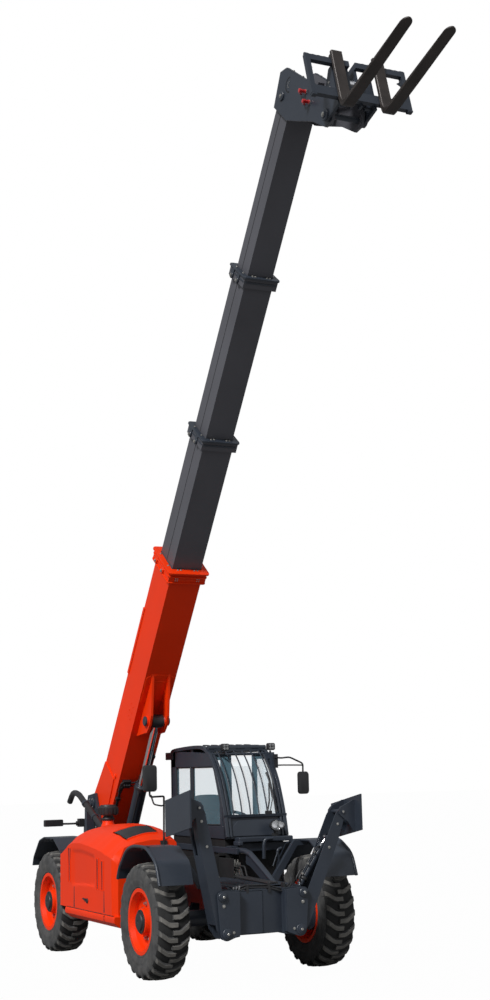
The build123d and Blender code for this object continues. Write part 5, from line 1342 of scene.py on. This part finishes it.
for s_, n in ((9.334, 0.500), (9.263, 0.640)):
    tags.turned([(0, 0.022), (0.020, 0.022), (0.024, 0.017), (0.055, 0.017), (0.058, 0.022), (0.085, 0.022),
                 (0.088, 0.016)], in_boom(-0.178, s_, n), (-1, 0, 0), 20)
    tags.tube([in_boom(-0.21, s_, n), in_boom(-0.222, s_ - 0.03, n - 0.05), in_boom(-0.205, s_ - 0.045, n - 0.09),
               in_boom(-0.178, s_ - 0.05, n - 0.10)], 0.009)
make("coupler_caps", tags, RED_LENS, "boom_section_4", smooth=40)
studs = Shape()
for s_, n in ((9.334, 0.500), (9.263, 0.640)):
    studs.turned([(0, 0.026), (0.010, 0.026), (0.014, 0.020), (0.020, 0.020)], in_boom(-0.178, s_, n), (-1, 0, 0), 6)
for sign in (-1, 1):
    for k in range(5):
        a = radians(160 + k * 42)
        studs.hex_bolt(in_boom(sign * 0.178, 9.300 + 0.030 * cos(a), 0.062 + 0.030 * sin(a)), (sign, 0, 0), 0.006,
                       0.006, washer=False)
    studs.hex_bolt(in_boom(sign * 0.198, 9.154, -0.043), (sign, 0, 0), 0.014, 0.010)
    for n in (0.05, 0.30, 0.50):
        studs.hex_bolt(in_boom(sign * 0.160, 9.440, n), ALONG, 0.010, 0.010)
make("boom_head_bolts", studs, ZINC, "boom_section_4")

# ---------------------------------------------------------------- boom tower at the back of the frame
tower = Shape()
for sign in (-1, 1):
    x = BOOM_X + sign * 0.252
    tower.turned([(0, 0.092), (0.014, 0.092), (0.018, 0.086), (0.020, 0.052), (0.034, 0.052), (0.038, 0.044)],
                 at(x, 3.620, 1.760), (sign, 0, 0), 36)
    tower.plate("x", x, [(3.42, 1.42), (3.56, 1.42), (3.56, 1.58), (3.42, 1.56)], sign * 0.012)
make("tower_pin_bosses", tower, NAVY, bevel=0.002)
tower = Shape()
for sign in (-1, 1):
    x = BOOM_X + sign * 0.252
    for k in range(4):
        a = radians(45 + 90 * k)
        tower.hex_bolt(at(x + sign * 0.018, 3.620 + 0.070 * cos(a), 1.760 + 0.070 * sin(a)), (sign, 0, 0), 0.010, 0.010)
    for y, z in ((3.86, 1.44), (3.46, 1.46), (3.52, 1.54)):
        tower.hex_bolt(at(x + (sign * 0.012 if y < 3.6 else 0), y, z), (sign, 0, 0), 0.012, 0.011)
make("tower_bolts", tower, ZINC)
# holes in the tower plates: thin near-black discs, painted shade for the openings
tower = Shape()
for sign in (-1, 1):
    x = BOOM_X + sign * 0.2522
    for y, z in ((3.80, 1.62), (3.86, 1.54)):
        tower.turned([(0, 0.026), (0.0012, 0.026)], at(x, y, z), (sign, 0, 0), 24)
make("tower_holes_painted_shade", tower, SEAM_DARK_AND_SHADE)

# ---------------------------------------------------------------- fender edges
edge = Shape()
for sign in (-1, 1):
    edge.tube([at(sign * 1.146, y, z) for y, z in ((-0.612, 1.000), (-0.520, 1.230), (-0.240, 1.376), (0.130, 1.376),
                                                   (0.330, 1.330), (0.560, 1.120), (0.610, 1.010))], 0.017, corner=6)
make("fender_edges", edge, NAVY, smooth=50)
edge = Shape()
for sign in (-1, 1):
    edge.prism([at(sign * 1.135, y, 1.3765) for y in (-0.24,
                                                      -0.06)] + [at(sign * 1.105, y, 1.3765) for y in (-0.06, -0.24)],
                                                      (0, 0, 0.005))
make("fender_reflectors", edge, BLACK, bevel=0.002)

for node_, width_ in (("chassis_frame", 0.004), ("stabiliser_beam", 0.006), ("stabiliser_leg_left", 0.006),
                      ("stabiliser_leg_right", 0.006),
                      ("stabiliser_pad_left", 0.005), ("stabiliser_pad_right", 0.005), ("carriage_frame", 0.005),
                      ("boom_base", 0.006),
                      ("boom_section_2", 0.005), ("boom_section_3", 0.005), ("boom_section_4", 0.004),
                      ("fenders", 0.003), ("tank_and_step", 0.005), ("axles", 0.004)):
    if not NODES[node_].modifiers:
        soften(NODES[node_], width_)


def hull(points):
    """Convex outline around points, anticlockwise."""
    points = sorted(set(points))
    chains = []
    for run in (points, points[::-1]):
        chain = []
        for p in run:
            while len(chain) > 1 and ((chain[-1][0] - chain[-2][0]) * (p[1] - chain[-2][1]) - (chain[-1][1] - chain[-2][1]) * (p[0] - chain[-2][0])) <= 0:
                chain.pop()
            chain.append(p)
        chains += chain[:-1]
    return chains


# front bracket plates: the legs swing between these and the plates of the beam
for side, sx, pivot, cyl in (("left", 1, (0.277, 0.520), (0.320, 0.885)),
                             ("right", -1, (-0.557, 0.520), (-0.600, 0.885))):
    rim = [(c[0] + r * cos(t), c[1] + r * sin(t)) for c, r in ((pivot, 0.070), (cyl, 0.058)) for t in turns(24)]
    inner_x = pivot[0] - sx * 0.150
    face = hull(rim + [(inner_x, 0.500), (inner_x, 0.925)])
    bracket = Shape()
    bracket.plate("y", -0.958, face, 0.016)
    bracket.box((inner_x - 0.012, -0.950, 0.505), (inner_x + 0.012, -0.880, 0.920))
    make("stabiliser_bracket_" + side, bracket, NAVY, bevel=0.003)
    boss = Shape()
    for c, r in ((pivot, 0.054), (cyl, 0.048)):
        boss.turned([(0, r), (0.012, r), (0.016, r - 0.004), (0.018, r * 0.66), (0.028, r * 0.66), (0.030, r * 0.56)],
                    at(c[0], -0.958, c[1]), (0, -1, 0), 32)
    make("stabiliser_bosses_" + side, boss, NAVY)
    nuts = Shape()
    for c in (pivot, cyl):
        nuts.hex_bolt(at(c[0], -0.988, c[1]), (0, -1, 0), 0.015, 0.010, washer=False)
    nuts.hex_bolt(at(cyl[0] - sx * 0.012, -0.958, cyl[1] - 0.092), (0, -1, 0), 0.012, 0.010)
    nuts.hex_bolt(at(pivot[0] - sx * 0.075, -0.958, pivot[1] + 0.01), (0, -1, 0), 0.010, 0.010)
    make("bracket_nuts_" + side, nuts, ZINC)
